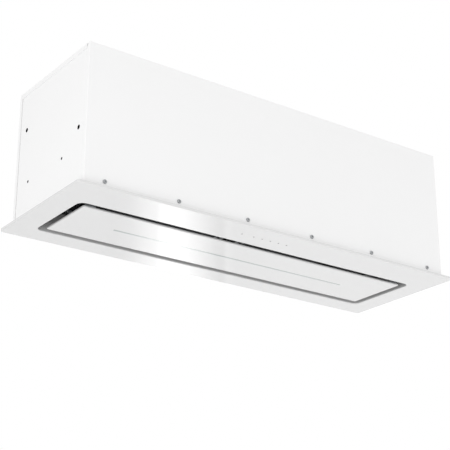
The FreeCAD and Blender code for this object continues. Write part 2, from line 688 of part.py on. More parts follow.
def hinge_brackets():
    """Fork on the frame's lip that holds the hinge pin on both sides of the knuckle."""
    half = hinge_bracket_width() / 2
    thick = HINGE_LEAF_THICK
    low = HINGE_Z - HINGE_KNUCKLE_R
    base = block(HINGE_X - half, HINGE_X + half, OPENING_NEAR, OPENING_NEAR + thick,
                 low, low + HINGE_BASE_HEIGHT)
    ears = []
    for x0 in (HINGE_X - half, HINGE_X + half - HINGE_EAR):
        arm = block(x0, x0 + HINGE_EAR, OPENING_NEAR, HINGE_Y, low, HINGE_Z + HINGE_KNUCKLE_R)
        ears.append(arm.fuse(rod(x0, HINGE_Y, HINGE_Z, X_AXIS, HINGE_KNUCKLE_R, HINGE_EAR)))
    fork = one_of([base] + ears)
    bore_r = HINGE_PIN_R + HINGE_PRESS_FIT
    fork = fork.cut(rod(HINGE_X - half - 1, HINGE_Y, HINGE_Z, X_AXIS, bore_r, 2 * half + 2))
    return group([fork] + mirrored([fork]))


def hinge_pins():
    """Riveted pin through the fork and the knuckle."""
    half = hinge_bracket_width() / 2
    shank = rod(HINGE_X - half, HINGE_Y, HINGE_Z, X_AXIS, HINGE_PIN_R, 2 * half)
    inner_x = HINGE_X - half - HINGE_PIN_HEAD
    inner_head = rod(inner_x, HINGE_Y, HINGE_Z, X_AXIS, HINGE_PIN_HEAD_R, HINGE_PIN_HEAD)
    outer_head = rod(HINGE_X + half, HINGE_Y, HINGE_Z, X_AXIS, HINGE_PIN_HEAD_R, HINGE_PIN_HEAD)
    pin = one_of([shank, inner_head, outer_head])
    return group([pin] + mirrored([pin]))


def striker_top():
    return UNDERSIDE + BACKING_HEIGHT - CATCH_GAP


def striker_plates():
    """Angled steel strips on the panel's back that the magnets hold."""
    x0 = CATCH_FROM_MIDDLE - STRIKER_LENGTH / 2
    x1 = x0 + STRIKER_LENGTH
    y1 = PANEL_FAR - PANEL_SHEET - STRIKER_EDGE_GAP
    y0 = y1 - STRIKER_WIDTH
    thick = STRIKER_THICK
    top = block(x0, x1, y0, y1, striker_top() - thick, striker_top())
    web = block(x0, x1, y1 - thick, y1, PANEL_BACK, striker_top())
    foot = block(x0, x1, y0, y1, PANEL_BACK, PANEL_BACK + thick)
    strip = one_of([top, web, foot])
    return group([strip] + mirrored([strip]))


def magnet_catches():
    """Magnet housings on the lip, over the striker plates."""
    x0 = CATCH_FROM_MIDDLE - CATCH_LENGTH / 2
    x1 = x0 + CATCH_LENGTH
    low = striker_top() + CATCH_GAP
    body = block(x0, x1, OPENING_FAR - CATCH_REACH, OPENING_FAR, low, low + CATCH_HEIGHT)
    plate = block(x0, x1, OPENING_FAR - HINGE_LEAF_THICK, OPENING_FAR, low, low + 2 * CATCH_HEIGHT)
    catch = one_of([body, plate])
    return group([catch] + mirrored([catch]))


# ---- grease filters ----
def filter_extent():
    """Right-hand filter: x from inner to outer end, y from near to far side."""
    x0, x1, y0, y1 = carrier_window()
    return x0 - FILTER_OVERLAP, x1 + FILTER_OVERLAP, y0 + FILTER_SIDE_PLAY, y1 - FILTER_SIDE_PLAY


def filter_frame():
    """Folded aluminium frame, U-shaped in section, open towards the mesh."""
    x0, x1, y0, y1 = filter_extent()
    top = CARRIER_TOP + FILTER_THICK
    outer = block(x0, x1, y0, y1, CARRIER_TOP, top)
    window = block(x0 + FILTER_END_RAIL, x1 - FILTER_END_RAIL, y0 + FILTER_SIDE_RAIL, y1 - FILTER_SIDE_RAIL,
                   CARRIER_TOP - 1, top + 1)
    wall = FILTER_SHEET
    slot = block(x0 + wall, x1 - wall, y0 + wall, y1 - wall, CARRIER_TOP + wall, top - wall)
    return outer.cut(window).cut(slot)


def filter_mesh():
    """Pack of expanded aluminium layers, held in the frame."""
    x0, x1, y0, y1 = filter_extent()
    wall = FILTER_SHEET
    low = CARRIER_TOP + wall
    return block(x0 + wall, x1 - wall, y0 + wall, y1 - wall, low, low + FILTER_PACK)


def pull_place():
    """The pull's pivot: x and z of its axis, and its middle in y."""
    x0, x1, y0, y1 = filter_extent()
    return x0 + LUG_FROM_END, CARRIER_TOP - LUG_EAR - LUG_PLAY - PULL_WIRE_R, (y0 + y1) / 2


def filter_lug():
    """Riveted lug under the filter's inner end, with two ears for the pull."""
    x, z, y = pull_place()
    span = PULL_WIDTH / 2
    base = block(x - LUG_BACK, x + LUG_FRONT, y - span - LUG_EAR, y + span + LUG_EAR,
                 CARRIER_TOP - LUG_EAR, CARRIER_TOP)
    ears = []
    for y0 in (y - span - LUG_EAR, y + span):
        low = z - 2 * PULL_WIRE_R
        ears.append(block(x - 2 * PULL_WIRE_R, x + 2 * PULL_WIRE_R, y0, y0 + LUG_EAR, low, CARRIER_TOP))
    lug = one_of([base] + ears)
    bore_length = PULL_WIDTH + 2 * LUG_EAR + 2
    return lug.cut(rod(x, y - span - LUG_EAR - 1, z, Y_AXIS, PULL_WIRE_R + PULL_FIT, bore_length))


def filter_pull():
    """Wire pull that hangs from the lug and folds flat either way."""
    x, z, y = pull_place()
    leg_y = PULL_WIDTH / 2 - 2 * PULL_WIRE_R
    corner = 3 * PULL_WIRE_R
    small = PULL_WIRE_R
    low = z - PULL_LENGTH
    end_y = PULL_WIDTH / 2 + LUG_EAR

    def at(dy, dz):
        return FreeCAD.Vector(x, y + dy, dz)

    def bend(start_y, start_z, end_y, end_z, centre_y, centre_z):
        """Quarter turn of wire between two points round a centre."""
        mid_y = centre_y + (start_y + end_y - 2 * centre_y) * math.sqrt(0.5)
        mid_z = centre_z + (start_z + end_z - 2 * centre_z) * math.sqrt(0.5)
        return Part.Arc(at(start_y, start_z), at(mid_y, mid_z), at(end_y, end_z)).toShape()

    eye = leg_y + small
    foot = leg_y - corner
    path = Part.Wire([
        Part.makeLine(at(-end_y, z), at(-eye, z)),
        bend(-eye, z, -leg_y, z - small, -eye, z - small),
        Part.makeLine(at(-leg_y, z - small), at(-leg_y, low + corner)),
        bend(-leg_y, low + corner, -foot, low, -foot, low + corner),
        Part.makeLine(at(-foot, low), at(foot, low)),
        bend(foot, low, leg_y, low + corner, foot, low + corner),
        Part.makeLine(at(leg_y, low + corner), at(leg_y, z - small)),
        bend(leg_y, z - small, eye, z, eye, z - small),
        Part.makeLine(at(eye, z), at(end_y, z))])
    ring = Part.Wire(Part.makeCircle(PULL_WIRE_R, at(-end_y, z), Y_AXIS))
    return path.makePipeShell([ring], True, True)


# ---- blower ----
def scroll_radius(turn):
    """Inner radius of the scroll at an angle in degrees: it grows evenly from the tongue to the outlet."""
    share = (turn - TONGUE_ANGLE) / (360 - TONGUE_ANGLE)
    return TONGUE_R + share * (SCROLL_END_R - TONGUE_R)


def scroll_curve(x, offset):
    """Spiral from the tongue, over the back and the bottom, to the outlet wall."""
    points = []
    for index in range(SCROLL_POINTS):
        turn = TONGUE_ANGLE + (360 - TONGUE_ANGLE) * index / (SCROLL_POINTS - 1)
        radius = scroll_radius(turn) + offset
        points.append(FreeCAD.Vector(x, BLOWER_SHIFT + radius * math.cos(math.radians(turn)),
                                     WHEEL_Z + radius * math.sin(math.radians(turn))))
    curve = Part.BSplineCurve()
    curve.interpolate(points)
    return curve.toShape(), points[0], points[-1]


def scroll_outline(x, offset):
    """Closed outline of the air path: spiral, outlet wall, outlet, tongue wall."""
    spiral, tongue, end = scroll_curve(x, offset)
    far_top = FreeCAD.Vector(x, end.y, LID_UNDER)
    near_top = FreeCAD.Vector(x, tongue.y, LID_UNDER)
    return Part.Face(Part.Wire([spiral, Part.makeLine(end, far_top), Part.makeLine(far_top, near_top),
                                Part.makeLine(near_top, tongue)]))


def scroll_wrap():
    """Sheet wrapped round the air path between the two side plates."""
    half = SCROLL_WIDTH / 2
    outer = scroll_outline(-half, SCROLL_SHEET).extrude(X_AXIS * SCROLL_WIDTH)
    inner = scroll_outline(-half, 0).extrude(X_AXIS * SCROLL_WIDTH)
    return outer.cut(inner)


def scroll_side(side):
    """Side plate with the round inlet."""
    half = SCROLL_WIDTH / 2
    x = half if side > 0 else -half - SCROLL_SHEET
    plate = scroll_outline(x, SCROLL_SHEET).extrude(X_AXIS * SCROLL_SHEET)
    plate = plate.cut(rod(x - 1, BLOWER_SHIFT, WHEEL_Z, X_AXIS, INLET_R, SCROLL_SHEET + 2))
    if side < 0:
        for y, z in spider_feet():
            plate = plate.cut(rod(x - 1, y, z, X_AXIS, M4_SHANK_R + SCREW_CLEARANCE, SCROLL_SHEET + 2))
    return plate


def inlet_rings():
    """Rolled rings that guide the air into the wheel, one on each side plate."""
    x = SCROLL_WIDTH / 2 + SCROLL_SHEET
    roll = INLET_ROLL
    corners = [FreeCAD.Vector(x, INLET_R, 0), FreeCAD.Vector(x, INLET_R + roll, 0),
               FreeCAD.Vector(x + roll, INLET_R + roll, 0)]
    middle = FreeCAD.Vector(x + roll * math.sqrt(0.5), INLET_R + roll - roll * math.sqrt(0.5), 0)
    arc = Part.Arc(corners[2], middle, corners[0]).toShape()
    flat = Part.makeLine(corners[0], corners[1])
    face = Part.Face(Part.Wire([flat, Part.makeLine(corners[1], corners[2]), arc]))
    ring = face.revolve(FreeCAD.Vector(0, 0, 0), X_AXIS, 360)
    ring.translate(FreeCAD.Vector(0, BLOWER_SHIFT, WHEEL_Z))
    return group([ring] + mirrored([ring]))


def blade(start, length):
    """One curved blade: a slice of a thin arc, which leans forward in the wheel's turn."""
    inner = WHEEL_R - BLADE_DEPTH
    outer = WHEEL_R - 0.5
    lean = math.radians(9)

    def at(radius, angle):
        return FreeCAD.Vector(start, radius * math.cos(angle), radius * math.sin(angle))

    thick = BLADE_THICK / inner
    middle = (inner + outer) / 2
    front = Part.Arc(at(inner, 0), at(middle, lean * 0.15), at(outer, lean)).toShape()
    back = Part.Arc(at(outer, lean + thick), at(middle, lean * 0.15 + thick), at(inner, thick)).toShape()
    face = Part.Face(Part.Wire([front, Part.makeLine(at(outer, lean), at(outer, lean + thick)), back,
                                Part.makeLine(at(inner, thick), at(inner, 0))]))
    return face.extrude(X_AXIS * length)


def impeller_wheel():
    """Double-inlet wheel: middle disc, hub, two rows of blades and two end rings."""
    disc = rod(-WHEEL_DISC / 2, 0, 0, X_AXIS, WHEEL_R, WHEEL_DISC)
    hub = rod(-WHEEL_DISC / 2, 0, 0, X_AXIS, WHEEL_HUB_R, WHEEL_DISC + WHEEL_HUB_LENGTH)
    shapes = [disc, hub]
    for x in (-WHEEL_HALF, WHEEL_HALF - WHEEL_RING):
        shapes.append(tube(x, 0, 0, X_AXIS, WHEEL_R, WHEEL_R - BLADE_DEPTH, WHEEL_RING))
    pattern = blade(-WHEEL_HALF + WHEEL_RING, 2 * (WHEEL_HALF - WHEEL_RING))
    for index in range(BLADES):
        turned = pattern.copy()
        turned.rotate(FreeCAD.Vector(0, 0, 0), X_AXIS, index * 360 / BLADES)
        shapes.append(turned)
    wheel = shapes[0].multiFuse(shapes[1:])
    wheel = wheel.cut(rod(-WHEEL_DISC, 0, 0, X_AXIS, SHAFT_R, WHEEL_DISC * 2 + WHEEL_HUB_LENGTH + 1))
    wheel.translate(FreeCAD.Vector(0, BLOWER_SHIFT, WHEEL_Z))
    return wheel


# ---- motor ----
def motor_face():
    """x of the motor's end that faces the wheel's disc."""
    return -WHEEL_DISC / 2 - MOTOR_TO_DISC


def motor_shaft():
    start = motor_face() - MOTOR_LENGTH
    end = WHEEL_DISC / 2 + WHEEL_HUB_LENGTH
    return rod(start + MOTOR_WALL, BLOWER_SHIFT, WHEEL_Z, X_AXIS, SHAFT_R, end - start - MOTOR_WALL)


def motor_can():
    """Deep-drawn can round the stator, with a seat for a bearing at each end."""
    start = motor_face() - MOTOR_LENGTH
    outer = rod(start, BLOWER_SHIFT, WHEEL_Z, X_AXIS, MOTOR_R, MOTOR_LENGTH)
    rims = [edge for edge in outer.Edges if edge.Curve.TypeId == "Part::GeomCircle"]
    outer = outer.makeFillet(MOTOR_WALL * 2, rims)
    wall = MOTOR_WALL
    room_start = start + wall + BEARING_WIDTH
    room_length = MOTOR_LENGTH - 2 * (wall + BEARING_WIDTH)
    room = rod(room_start, BLOWER_SHIFT, WHEEL_Z, X_AXIS, MOTOR_R - wall, room_length)
    seats = rod(start + wall, BLOWER_SHIFT, WHEEL_Z, X_AXIS, BEARING_R, MOTOR_LENGTH - 2 * wall)
    throat = rod(start + wall, BLOWER_SHIFT, WHEEL_Z, X_AXIS, SHAFT_R + 1, MOTOR_LENGTH)
    return outer.cut(room.fuse(seats).fuse(throat))


def motor_bearings():
    start = motor_face() - MOTOR_LENGTH + MOTOR_WALL
    end = motor_face() - MOTOR_WALL - BEARING_WIDTH
    bore_r = SHAFT_R + SHAFT_RUNNING_FIT
    return group([tube(x, BLOWER_SHIFT, WHEEL_Z, X_AXIS, BEARING_R, bore_r, BEARING_WIDTH)
                  for x in (start, end)])


def motor_middle():
    return motor_face() - MOTOR_LENGTH / 2


def motor_stator():
    outside = MOTOR_R - MOTOR_WALL
    return tube(motor_middle() - STATOR_LENGTH / 2, BLOWER_SHIFT, WHEEL_Z, X_AXIS,
                outside, outside - STATOR_WALL, STATOR_LENGTH)


def motor_rotor():
    outside = MOTOR_R - MOTOR_WALL - STATOR_WALL - ROTOR_AIR_GAP
    start = motor_middle() - ROTOR_LENGTH / 2
    return tube(start, BLOWER_SHIFT, WHEEL_Z, X_AXIS, outside, SHAFT_R, ROTOR_LENGTH)


def spider_feet():
    """Where the spider's arms are screwed to the left side plate."""
    radius = INLET_R + INLET_ROLL + SPIDER_FOOT_REACH / 2
    feet = []
    for index in range(SPIDER_ARMS):
        turn = math.radians(90 + 360 / SPIDER_ARMS * index)
        feet.append((BLOWER_SHIFT + radius * math.cos(turn), WHEEL_Z + radius * math.sin(turn)))
    return feet


def spider_plane():
    """x of the spider's face that looks at the inlet ring."""
    return -SCROLL_WIDTH / 2 - SCROLL_SHEET - INLET_ROLL


def motor_spider():
    """Three-armed steel bracket over the left inlet. Its neck reaches in and carries the motor."""
    plane = spider_plane()
    reach = INLET_R + INLET_ROLL + SPIDER_FOOT_REACH
    hub = rod(plane - SPIDER_SHEET, 0, 0, X_AXIS, SPIDER_HUB_R, SPIDER_SHEET)
    neck_end = motor_face() - MOTOR_LENGTH
    neck = tube(plane - SPIDER_SHEET, 0, 0, X_AXIS, SPIDER_HUB_R, SPIDER_HUB_R - SPIDER_SHEET,
                neck_end - plane + SPIDER_SHEET)
    shapes = [hub, neck]
    half = SPIDER_ARM_WIDTH / 2
    foot_r = INLET_R + INLET_ROLL
    for index in range(SPIDER_ARMS):
        arm = block(plane - SPIDER_SHEET, plane, SPIDER_HUB_R - SPIDER_SHEET, reach, -half, half)
        leg_room = GROMMET_THICK
        leg = block(plane - SPIDER_SHEET, -SCROLL_WIDTH / 2 - SCROLL_SHEET - leg_room,
                    foot_r + SPIDER_FOOT_REACH - SPIDER_SHEET, foot_r + SPIDER_FOOT_REACH, -half, half)
        foot = block(-SCROLL_WIDTH / 2 - SCROLL_SHEET - leg_room - SPIDER_SHEET,
                     -SCROLL_WIDTH / 2 - SCROLL_SHEET - leg_room, foot_r, reach, -half, half)
        limb = one_of([arm, leg, foot])
        hole = rod(plane - 2 * SPIDER_SHEET, foot_r + SPIDER_FOOT_REACH / 2, 0, X_AXIS,
                   M4_SHANK_R + SCREW_CLEARANCE, INLET_ROLL + 3 * SPIDER_SHEET)
        limb = limb.cut(hole)
        limb.rotate(FreeCAD.Vector(0, 0, 0), X_AXIS, 90 + index * 360 / SPIDER_ARMS)
        shapes.append(limb)
    spider = one_of(shapes)
    spider.translate(FreeCAD.Vector(0, BLOWER_SHIFT, WHEEL_Z))
    return spider


def motor_grommets():
    """Rubber washers between the spider's feet and the side plate."""
    x = -SCROLL_WIDTH / 2 - SCROLL_SHEET - GROMMET_THICK
    return group([tube(x, y, z, X_AXIS, GROMMET_R, M4_SHANK_R + SCREW_CLEARANCE, GROMMET_THICK)
                  for y, z in spider_feet()])


def blower_screws():
    """Screws of the motor spider."""
    x = spider_plane() - SPIDER_SHEET
    return group([pan_screw(x, y, z, X_AXIS, INLET_ROLL + SPIDER_SHEET + 2 * SCROLL_SHEET)
                  for y, z in spider_feet()])


# ---- duct collar and damper ----
def damper_z():
    return LID_TOP + SEAT_THICK + FLAP_SEAT_GAP + FLAP_THICK + FLAP_DROP


def duct_collar():
    """Round collar for the duct, with a flange on the lid and holes for the damper pin."""
    wall = tube(0, OUTLET_Y, LID_TOP, Z_AXIS, COLLAR_R, COLLAR_INNER, COLLAR_HEIGHT)
    flange = tube(0, OUTLET_Y, LID_TOP, Z_AXIS, COLLAR_R + COLLAR_FLANGE, COLLAR_INNER, COLLAR_WALL)
    collar = one_of([wall, flange])
    for x, y in collar_screw_places():
        collar = collar.cut(rod(x, y, LID_TOP - 1, Z_AXIS, M4_SHANK_R + SCREW_CLEARANCE, COLLAR_WALL + 2))
    reach = COLLAR_R + 1
    return collar.cut(rod(-reach, OUTLET_Y, damper_z(), X_AXIS, DAMPER_PIN_R + SCREW_CLEARANCE, 2 * reach))


def collar_screws():
    return group([pan_screw(x, y, LID_TOP + COLLAR_WALL, Z_AXIS * -1, M4_SHANK_LENGTH)
                  for x, y in collar_screw_places()])


def damper_seat():
    """Foam-faced ring in the collar's foot, on which the closed flaps lie."""
    return tube(0, OUTLET_Y, LID_TOP, Z_AXIS, COLLAR_INNER, COLLAR_INNER - SEAT_WIDTH, SEAT_THICK)


def damper_pin():
    return rod(-COLLAR_R, OUTLET_Y, damper_z(), X_AXIS, DAMPER_PIN_R, 2 * COLLAR_R)


def damper_flap(side, knuckle_x):
    """Half-round flap with two knuckles on the shared pin. side is -1 near, 1 far."""
    top = damper_z() - FLAP_DROP
    radius = COLLAR_INNER - FLAP_RIM_GAP
    disc = rod(0, OUTLET_Y, top - FLAP_THICK, Z_AXIS, radius, FLAP_THICK)
    y0 = OUTLET_Y + FLAP_EDGE if side > 0 else OUTLET_Y - radius - 1
    half = disc.common(block(-radius - 1, radius + 1, y0, y0 + radius + 1 - FLAP_EDGE,
                             top - FLAP_THICK, top))
    shapes = [half]
    length = DAMPER_KNUCKLE_LENGTH
    for x in (-knuckle_x, knuckle_x):
        shapes.append(rod(x - length / 2, OUTLET_Y, damper_z(), X_AXIS, DAMPER_KNUCKLE_R, length))
        tab_y0 = OUTLET_Y if side > 0 else OUTLET_Y - FLAP_EDGE - 1
        shapes.append(block(x - length / 2, x + length / 2, tab_y0, tab_y0 + FLAP_EDGE + 1,
                            top - FLAP_THICK, top))
    flap = one_of(shapes)
    return flap.cut(rod(-radius, OUTLET_Y, damper_z(), X_AXIS, DAMPER_PIN_R + DAMPER_PIN_FIT, 2 * radius))


# ---- electrics ----
def control_extent():
    """Outside of the control box in plan."""
    return (CONTROL_X, CONTROL_X + CONTROL_LENGTH, -CONTROL_WIDTH / 2, CONTROL_WIDTH / 2)


def control_box():
    """Box under the lid, open downwards for service."""
    x0, x1, y0, y1 = control_extent()
    low = LID_UNDER - CONTROL_HEIGHT
    wall = CONTROL_WALL
    outer = block(x0, x1, y0, y1, low + wall, LID_UNDER)
    return outer.cut(block(x0 + wall, x1 - wall, y0 + wall, y1 - wall, low, LID_UNDER - wall))


def control_cover():
    x0, x1, y0, y1 = control_extent()
    low = LID_UNDER - CONTROL_HEIGHT
    return block(x0, x1, y0, y1, low, low + CONTROL_WALL)


def board_under():
    """Level of the board's lower face."""
    return LID_UNDER - CONTROL_WALL - BOARD_STANDOFF - BOARD_THICK


def control_board():
    """Circuit board on four standoffs, with a transformer and two relays."""
    x0, x1, y0, y1 = control_extent()
    margin = CONTROL_WALL + BOARD_MARGIN
    under = board_under()
    board = block(x0 + margin, x1 - margin, y0 + margin, y1 - margin, under, under + BOARD_THICK)
    shapes = [board]
    post = BOARD_MARGIN / 2
    for x in (x0 + 2 * margin, x1 - 2 * margin):
        for y in (y0 + 2 * margin, y1 - 2 * margin):
            shapes.append(rod(x, y, under + BOARD_THICK, Z_AXIS, post, BOARD_STANDOFF))
    middle = (x0 + x1) / 2
    near = y0 + 2 * margin
    shapes.append(block(middle, middle + TRANSFORMER_LENGTH, near, near + TRANSFORMER_WIDTH,
                        under - TRANSFORMER_HEIGHT, under))
    for index in range(RELAYS):
        x = middle - (index + 1) * RELAY_PITCH
        shapes.append(block(x, x + RELAY_LENGTH, near, near + RELAY_WIDTH, under - RELAY_HEIGHT, under))
    return one_of(shapes)


def terminal_block():
    """Screw terminals at the far side of the board."""
    x0, x1, y0, y1 = control_extent()
    length = TERMINAL_WAYS * TERMINAL_PITCH
    start = (x0 + x1 - length) / 2
    far = y1 - 2 * (CONTROL_WALL + BOARD_MARGIN)
    body = block(start, start + length, far - TERMINAL_WIDTH, far,
                 board_under() - TERMINAL_HEIGHT, board_under())
    for index in range(TERMINAL_WAYS):
        x = start + (index + 0.5) * TERMINAL_PITCH
        for y in (far - TERMINAL_WIDTH / 4, far - TERMINAL_WIDTH * 3 / 4):
            body = body.cut(rod(x, y, board_under() - TERMINAL_HEIGHT - 1, Z_AXIS, TERMINAL_PITCH / 3.5,
                                TERMINAL_HEIGHT / 2))
    return body


def capacitor():
    """Motor capacitor, clipped under the lid beside the scroll."""
    x = SCROLL_WIDTH / 2 + ELECTRICS_SPACE + CAPACITOR_R
    z = LID_UNDER - CAPACITOR_R
    can = rod(x, -CAPACITOR_LENGTH / 2, z, Y_AXIS, CAPACITOR_R, CAPACITOR_LENGTH)
    rims = [edge for edge in can.Edges if edge.Curve.TypeId == "Part::GeomCircle"]
    can = can.makeFillet(2, rims)
    saddle = block(x - CAPACITOR_R / 2, x + CAPACITOR_R / 2, -CAPACITOR_R, CAPACITOR_R, z, LID_UNDER)
    return one_of([can, saddle])


def light_driver():
    """Mains driver of the light, under the lid left of the scroll."""
    x1 = -SCROLL_WIDTH / 2 - CONTROL_FROM_SCROLL
    half = DRIVER_WIDTH / 2
    body = block(x1 - DRIVER_LENGTH, x1, -half, half, LID_UNDER - DRIVER_HEIGHT, LID_UNDER)
    upright = [edge for edge in body.Edges if abs(edge.tangentAt(edge.FirstParameter).z) > 0.99]
    return body.makeFillet(3, upright)


def hexagon(x, y, z, radius, height):
    corners = []
    for index in range(7):
        turn = math.radians(60 * index)
        corners.append(FreeCAD.Vector(x + radius * math.cos(turn), y + radius * math.sin(turn), z))
    return Part.Face(Part.makePolygon(corners)).extrude(Z_AXIS * height)


def cable_gland():
    """Gland on the lid for the mains cable: dome, hexagon, thread and lock nut."""
    x, y = gland_place()
    nut = hexagon(x, y, LID_UNDER - GLAND_NUT, GLAND_NUT_R, GLAND_NUT)
    thread = rod(x, y, LID_UNDER - GLAND_NUT, Z_AXIS, GLAND_THREAD_R, GLAND_NUT + 2 * BOX_SHEET)
    body = hexagon(x, y, LID_TOP, GLAND_NUT_R, GLAND_NUT)
    dome = rod(x, y, LID_TOP, Z_AXIS, GLAND_NUT_R - GLAND_DOME_STEP, GLAND_HEIGHT)
    top_rim = [edge for edge in dome.Edges if edge.BoundBox.ZMin > LID_TOP + GLAND_HEIGHT - 0.01]
    dome = dome.makeFillet(GLAND_DOME_BEND, top_rim)
    gland = one_of([nut, thread, body, dome])
    return gland.cut(rod(x, y, LID_UNDER - 2 * GLAND_NUT, Z_AXIS, GLAND_BORE_R,
                         GLAND_HEIGHT + 3 * GLAND_NUT))


# ---- write one file per piece ----
right_end = end_panel()
right_filter = filter_frame()
right_mesh = filter_mesh()
right_lug = filter_lug()
right_pull = filter_pull()

PIECES = {
    "frame_bezel": frame_bezel(),
    "key_lenses": key_lenses(),
    "key_board": key_board(),
    "key_cover": key_cover(),
    "front_panel": front_panel(),
    "rear_panel": rear_panel(),
    "end_panel_right": right_end,
    "end_panel_left": mirrored([right_end])[0],
    "lid": lid(),
    "hanger_plates": hanger_plates(),
    "side_screws": side_screws(),
    "lid_screws": lid_screws(),
    "filter_carrier": filter_carrier(),
    "hinge_brackets": hinge_brackets(),
    "hinge_pins": hinge_pins(),
    "magnet_catches": magnet_catches(),
    "scroll_wrap": scroll_wrap(),
    "scroll_side_left": scroll_side(-1),
    "scroll_side_right": scroll_side(1),
    "inlet_rings": inlet_rings(),
    "motor_can": motor_can(),
    "motor_stator": motor_stator(),
    "motor_bearings": motor_bearings(),
    "motor_spider": motor_spider(),
    "motor_grommets": motor_grommets(),
    "blower_screws": blower_screws(),
    "duct_collar": duct_collar(),
    "collar_screws": collar_screws(),
    "damper_seat": damper_seat(),
    "damper_pin": damper_pin(),
    "control_box": control_box(),
    "control_cover": control_cover(),
    "control_board": control_board(),
    "terminal_block": terminal_block(),
    "capacitor": capacitor(),
    "light_driver": light_driver(),
    "cable_gland": cable_gland(),
    "panel_skin": panel_skin(),
    "panel_backing": panel_backing(),
    "light_diffuser": light_diffuser(),
    "light_channel": light_channel(),
    "light_strip": light_strip(),
    "hinge_leaves": hinge_leaves(),
    "striker_plates": striker_plates(),
    "filter_frame_right": right_filter,
    "filter_frame_left": mirrored([right_filter])[0],
    "filter_mesh_right": right_mesh,
    "filter_mesh_left": mirrored([right_mesh])[0],
    "filter_lug_right": right_lug,
    "filter_lug_left": mirrored([right_lug])[0],
    "filter_pull_right": right_pull,
    "filter_pull_left": mirrored([right_pull])[0],
    "impeller_wheel": impeller_wheel(),
    "motor_shaft": motor_shaft(),
    "motor_rotor": motor_rotor(),
    "damper_flap_near": damper_flap(-1, DAMPER_KNUCKLES[0]),
    "damper_flap_far": damper_flap(1, DAMPER_KNUCKLES[1]),
}

os.makedirs("parts", exist_ok=True)
for name, shape in PIECES.items():
    shape.exportStep("parts/" + name + ".step")
    print(name, len(shape.Solids), "solids,", round(shape.Volume / 1000, 2), "cm3, valid", shape.isValid())
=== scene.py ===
import math

import bpy
import numpy as np
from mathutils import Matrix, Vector


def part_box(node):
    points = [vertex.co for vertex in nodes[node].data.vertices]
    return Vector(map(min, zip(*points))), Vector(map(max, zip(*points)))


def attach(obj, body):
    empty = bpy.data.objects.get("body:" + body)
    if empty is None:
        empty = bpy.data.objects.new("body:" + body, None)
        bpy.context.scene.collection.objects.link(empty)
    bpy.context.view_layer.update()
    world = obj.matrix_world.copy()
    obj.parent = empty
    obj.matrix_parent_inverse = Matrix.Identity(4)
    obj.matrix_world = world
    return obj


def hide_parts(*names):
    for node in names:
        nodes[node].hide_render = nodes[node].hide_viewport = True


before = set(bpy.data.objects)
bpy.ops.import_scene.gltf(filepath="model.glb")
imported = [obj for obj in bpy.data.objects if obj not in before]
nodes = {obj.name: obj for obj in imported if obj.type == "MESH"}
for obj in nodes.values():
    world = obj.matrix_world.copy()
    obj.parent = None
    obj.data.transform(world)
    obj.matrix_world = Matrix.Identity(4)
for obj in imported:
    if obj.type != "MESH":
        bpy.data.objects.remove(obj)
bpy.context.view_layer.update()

MM = 0.001


# ---- Camera ----
# The hood is seen from its near left corner and from below, through a long lens.
# The place and the two angles come from a camera fitted to the edges of the photograph.
CAMERA_PLACE = Vector((-1376.6, -1855.5, -827.3)) * MM
CAMERA_YAW = 0.6266                # radians from +Y towards +X
CAMERA_PITCH = 0.3680              # radians upwards
SENSOR_MM = 36.0
LENS_MM = 98.34
NEAREST_SEEN = 0.05
FARTHEST_SEEN = 60.0

camera = bpy.data.objects.new("camera", bpy.data.cameras.new("camera"))
bpy.context.collection.objects.link(camera)
camera.data.sensor_width = SENSOR_MM
camera.data.lens = LENS_MM
camera.data.clip_start = NEAREST_SEEN
camera.data.clip_end = FARTHEST_SEEN
camera.location = CAMERA_PLACE
camera.rotation_euler = (math.pi / 2 + CAMERA_PITCH, 0.0, -CAMERA_YAW)
bpy.context.scene.camera = camera


# ---- Studio ----
# A pale floor far below the hood, a white room that is dimmer overhead, and three soft lamps: two
# low in front of the hood's ends, so that the flange shades the foot of the box, and one below.
# A bright upright card stands behind the hood and shows only as the streak in the gloss underside.
WHITE = "FFFFFF"
FLOOR_LEVEL = -3.2
FLOOR_HALF = 14.0
FLOOR_POINTS = 9                   # along a side
FLOOR_CLOUDS = 9.0                 # across a side
FLOOR_DARK = 0.82
FLOOR_PALE = 0.86
ROOM_LIGHT = 1.05
OVERHEAD_LIGHT = 0.62
BACKGROUND_LIGHT = 1.0             # white, as the camera and the mirrors see it
HOOD_MIDDLE = Vector((0.0, 0.0, 0.14))
LAMP_SIZE = 1.4
LAMPS = {                          # place and watts
    "left_lamp": (Vector((-2.2, -1.35, -1.0)), 18.4),
    "right_lamp": (Vector((1.9, -1.5, -1.0)), 8.6),
    "low_lamp": (Vector((0.3, -0.2, -2.7)), 13.5),
}
CARD_DISTANCE = 3.6                # past the hood, along the camera's view
CARD_HEIGHTS = (-3.0, 0.2)
CARD_COLUMNS = 96
CARD_GLOWS = [                     # degrees beside the camera's axis, and the glow there
    (-16.0, 0.26), (-6.4, 0.2), (-5.6, 0.10), (-5.0, 0.18), (-4.6, 0.32), (-4.2, 0.64),
    (-3.8, 0.94), (-3.4, 1.10), (-3.2, 1.75), (-2.3, 1.7), (-1.9, 1.38), (-0.3, 0.0),
    (-0.05, 0.0), (0.05, 0.42), (0.5, 0.22), (3.0, 0.33), (14.0, 0.36),
]


def linear(hex_colour):
    """Linear RGBA of an sRGB hex colour."""
    parts = [int(hex_colour[i:i + 2], 16) / 255 for i in (0, 2, 4)]
    return [p / 12.92 if p <= 0.04045 else ((p + 0.055) / 1.055) ** 2.4 for p in parts] + [1.0]


def node(tree, kind, sockets=None, **settings):
    """Adds a node. Settings go on the node; a socket gets a value, or a link from an output."""
    made = tree.nodes.new(kind)
    for key, value in settings.items():
        setattr(made, key, value)
    for key, value in (sockets or {}).items():
        if isinstance(value, bpy.types.NodeSocket):
            tree.links.new(value, made.inputs[key])
        else:
            made.inputs[key].default_value = value
    return made


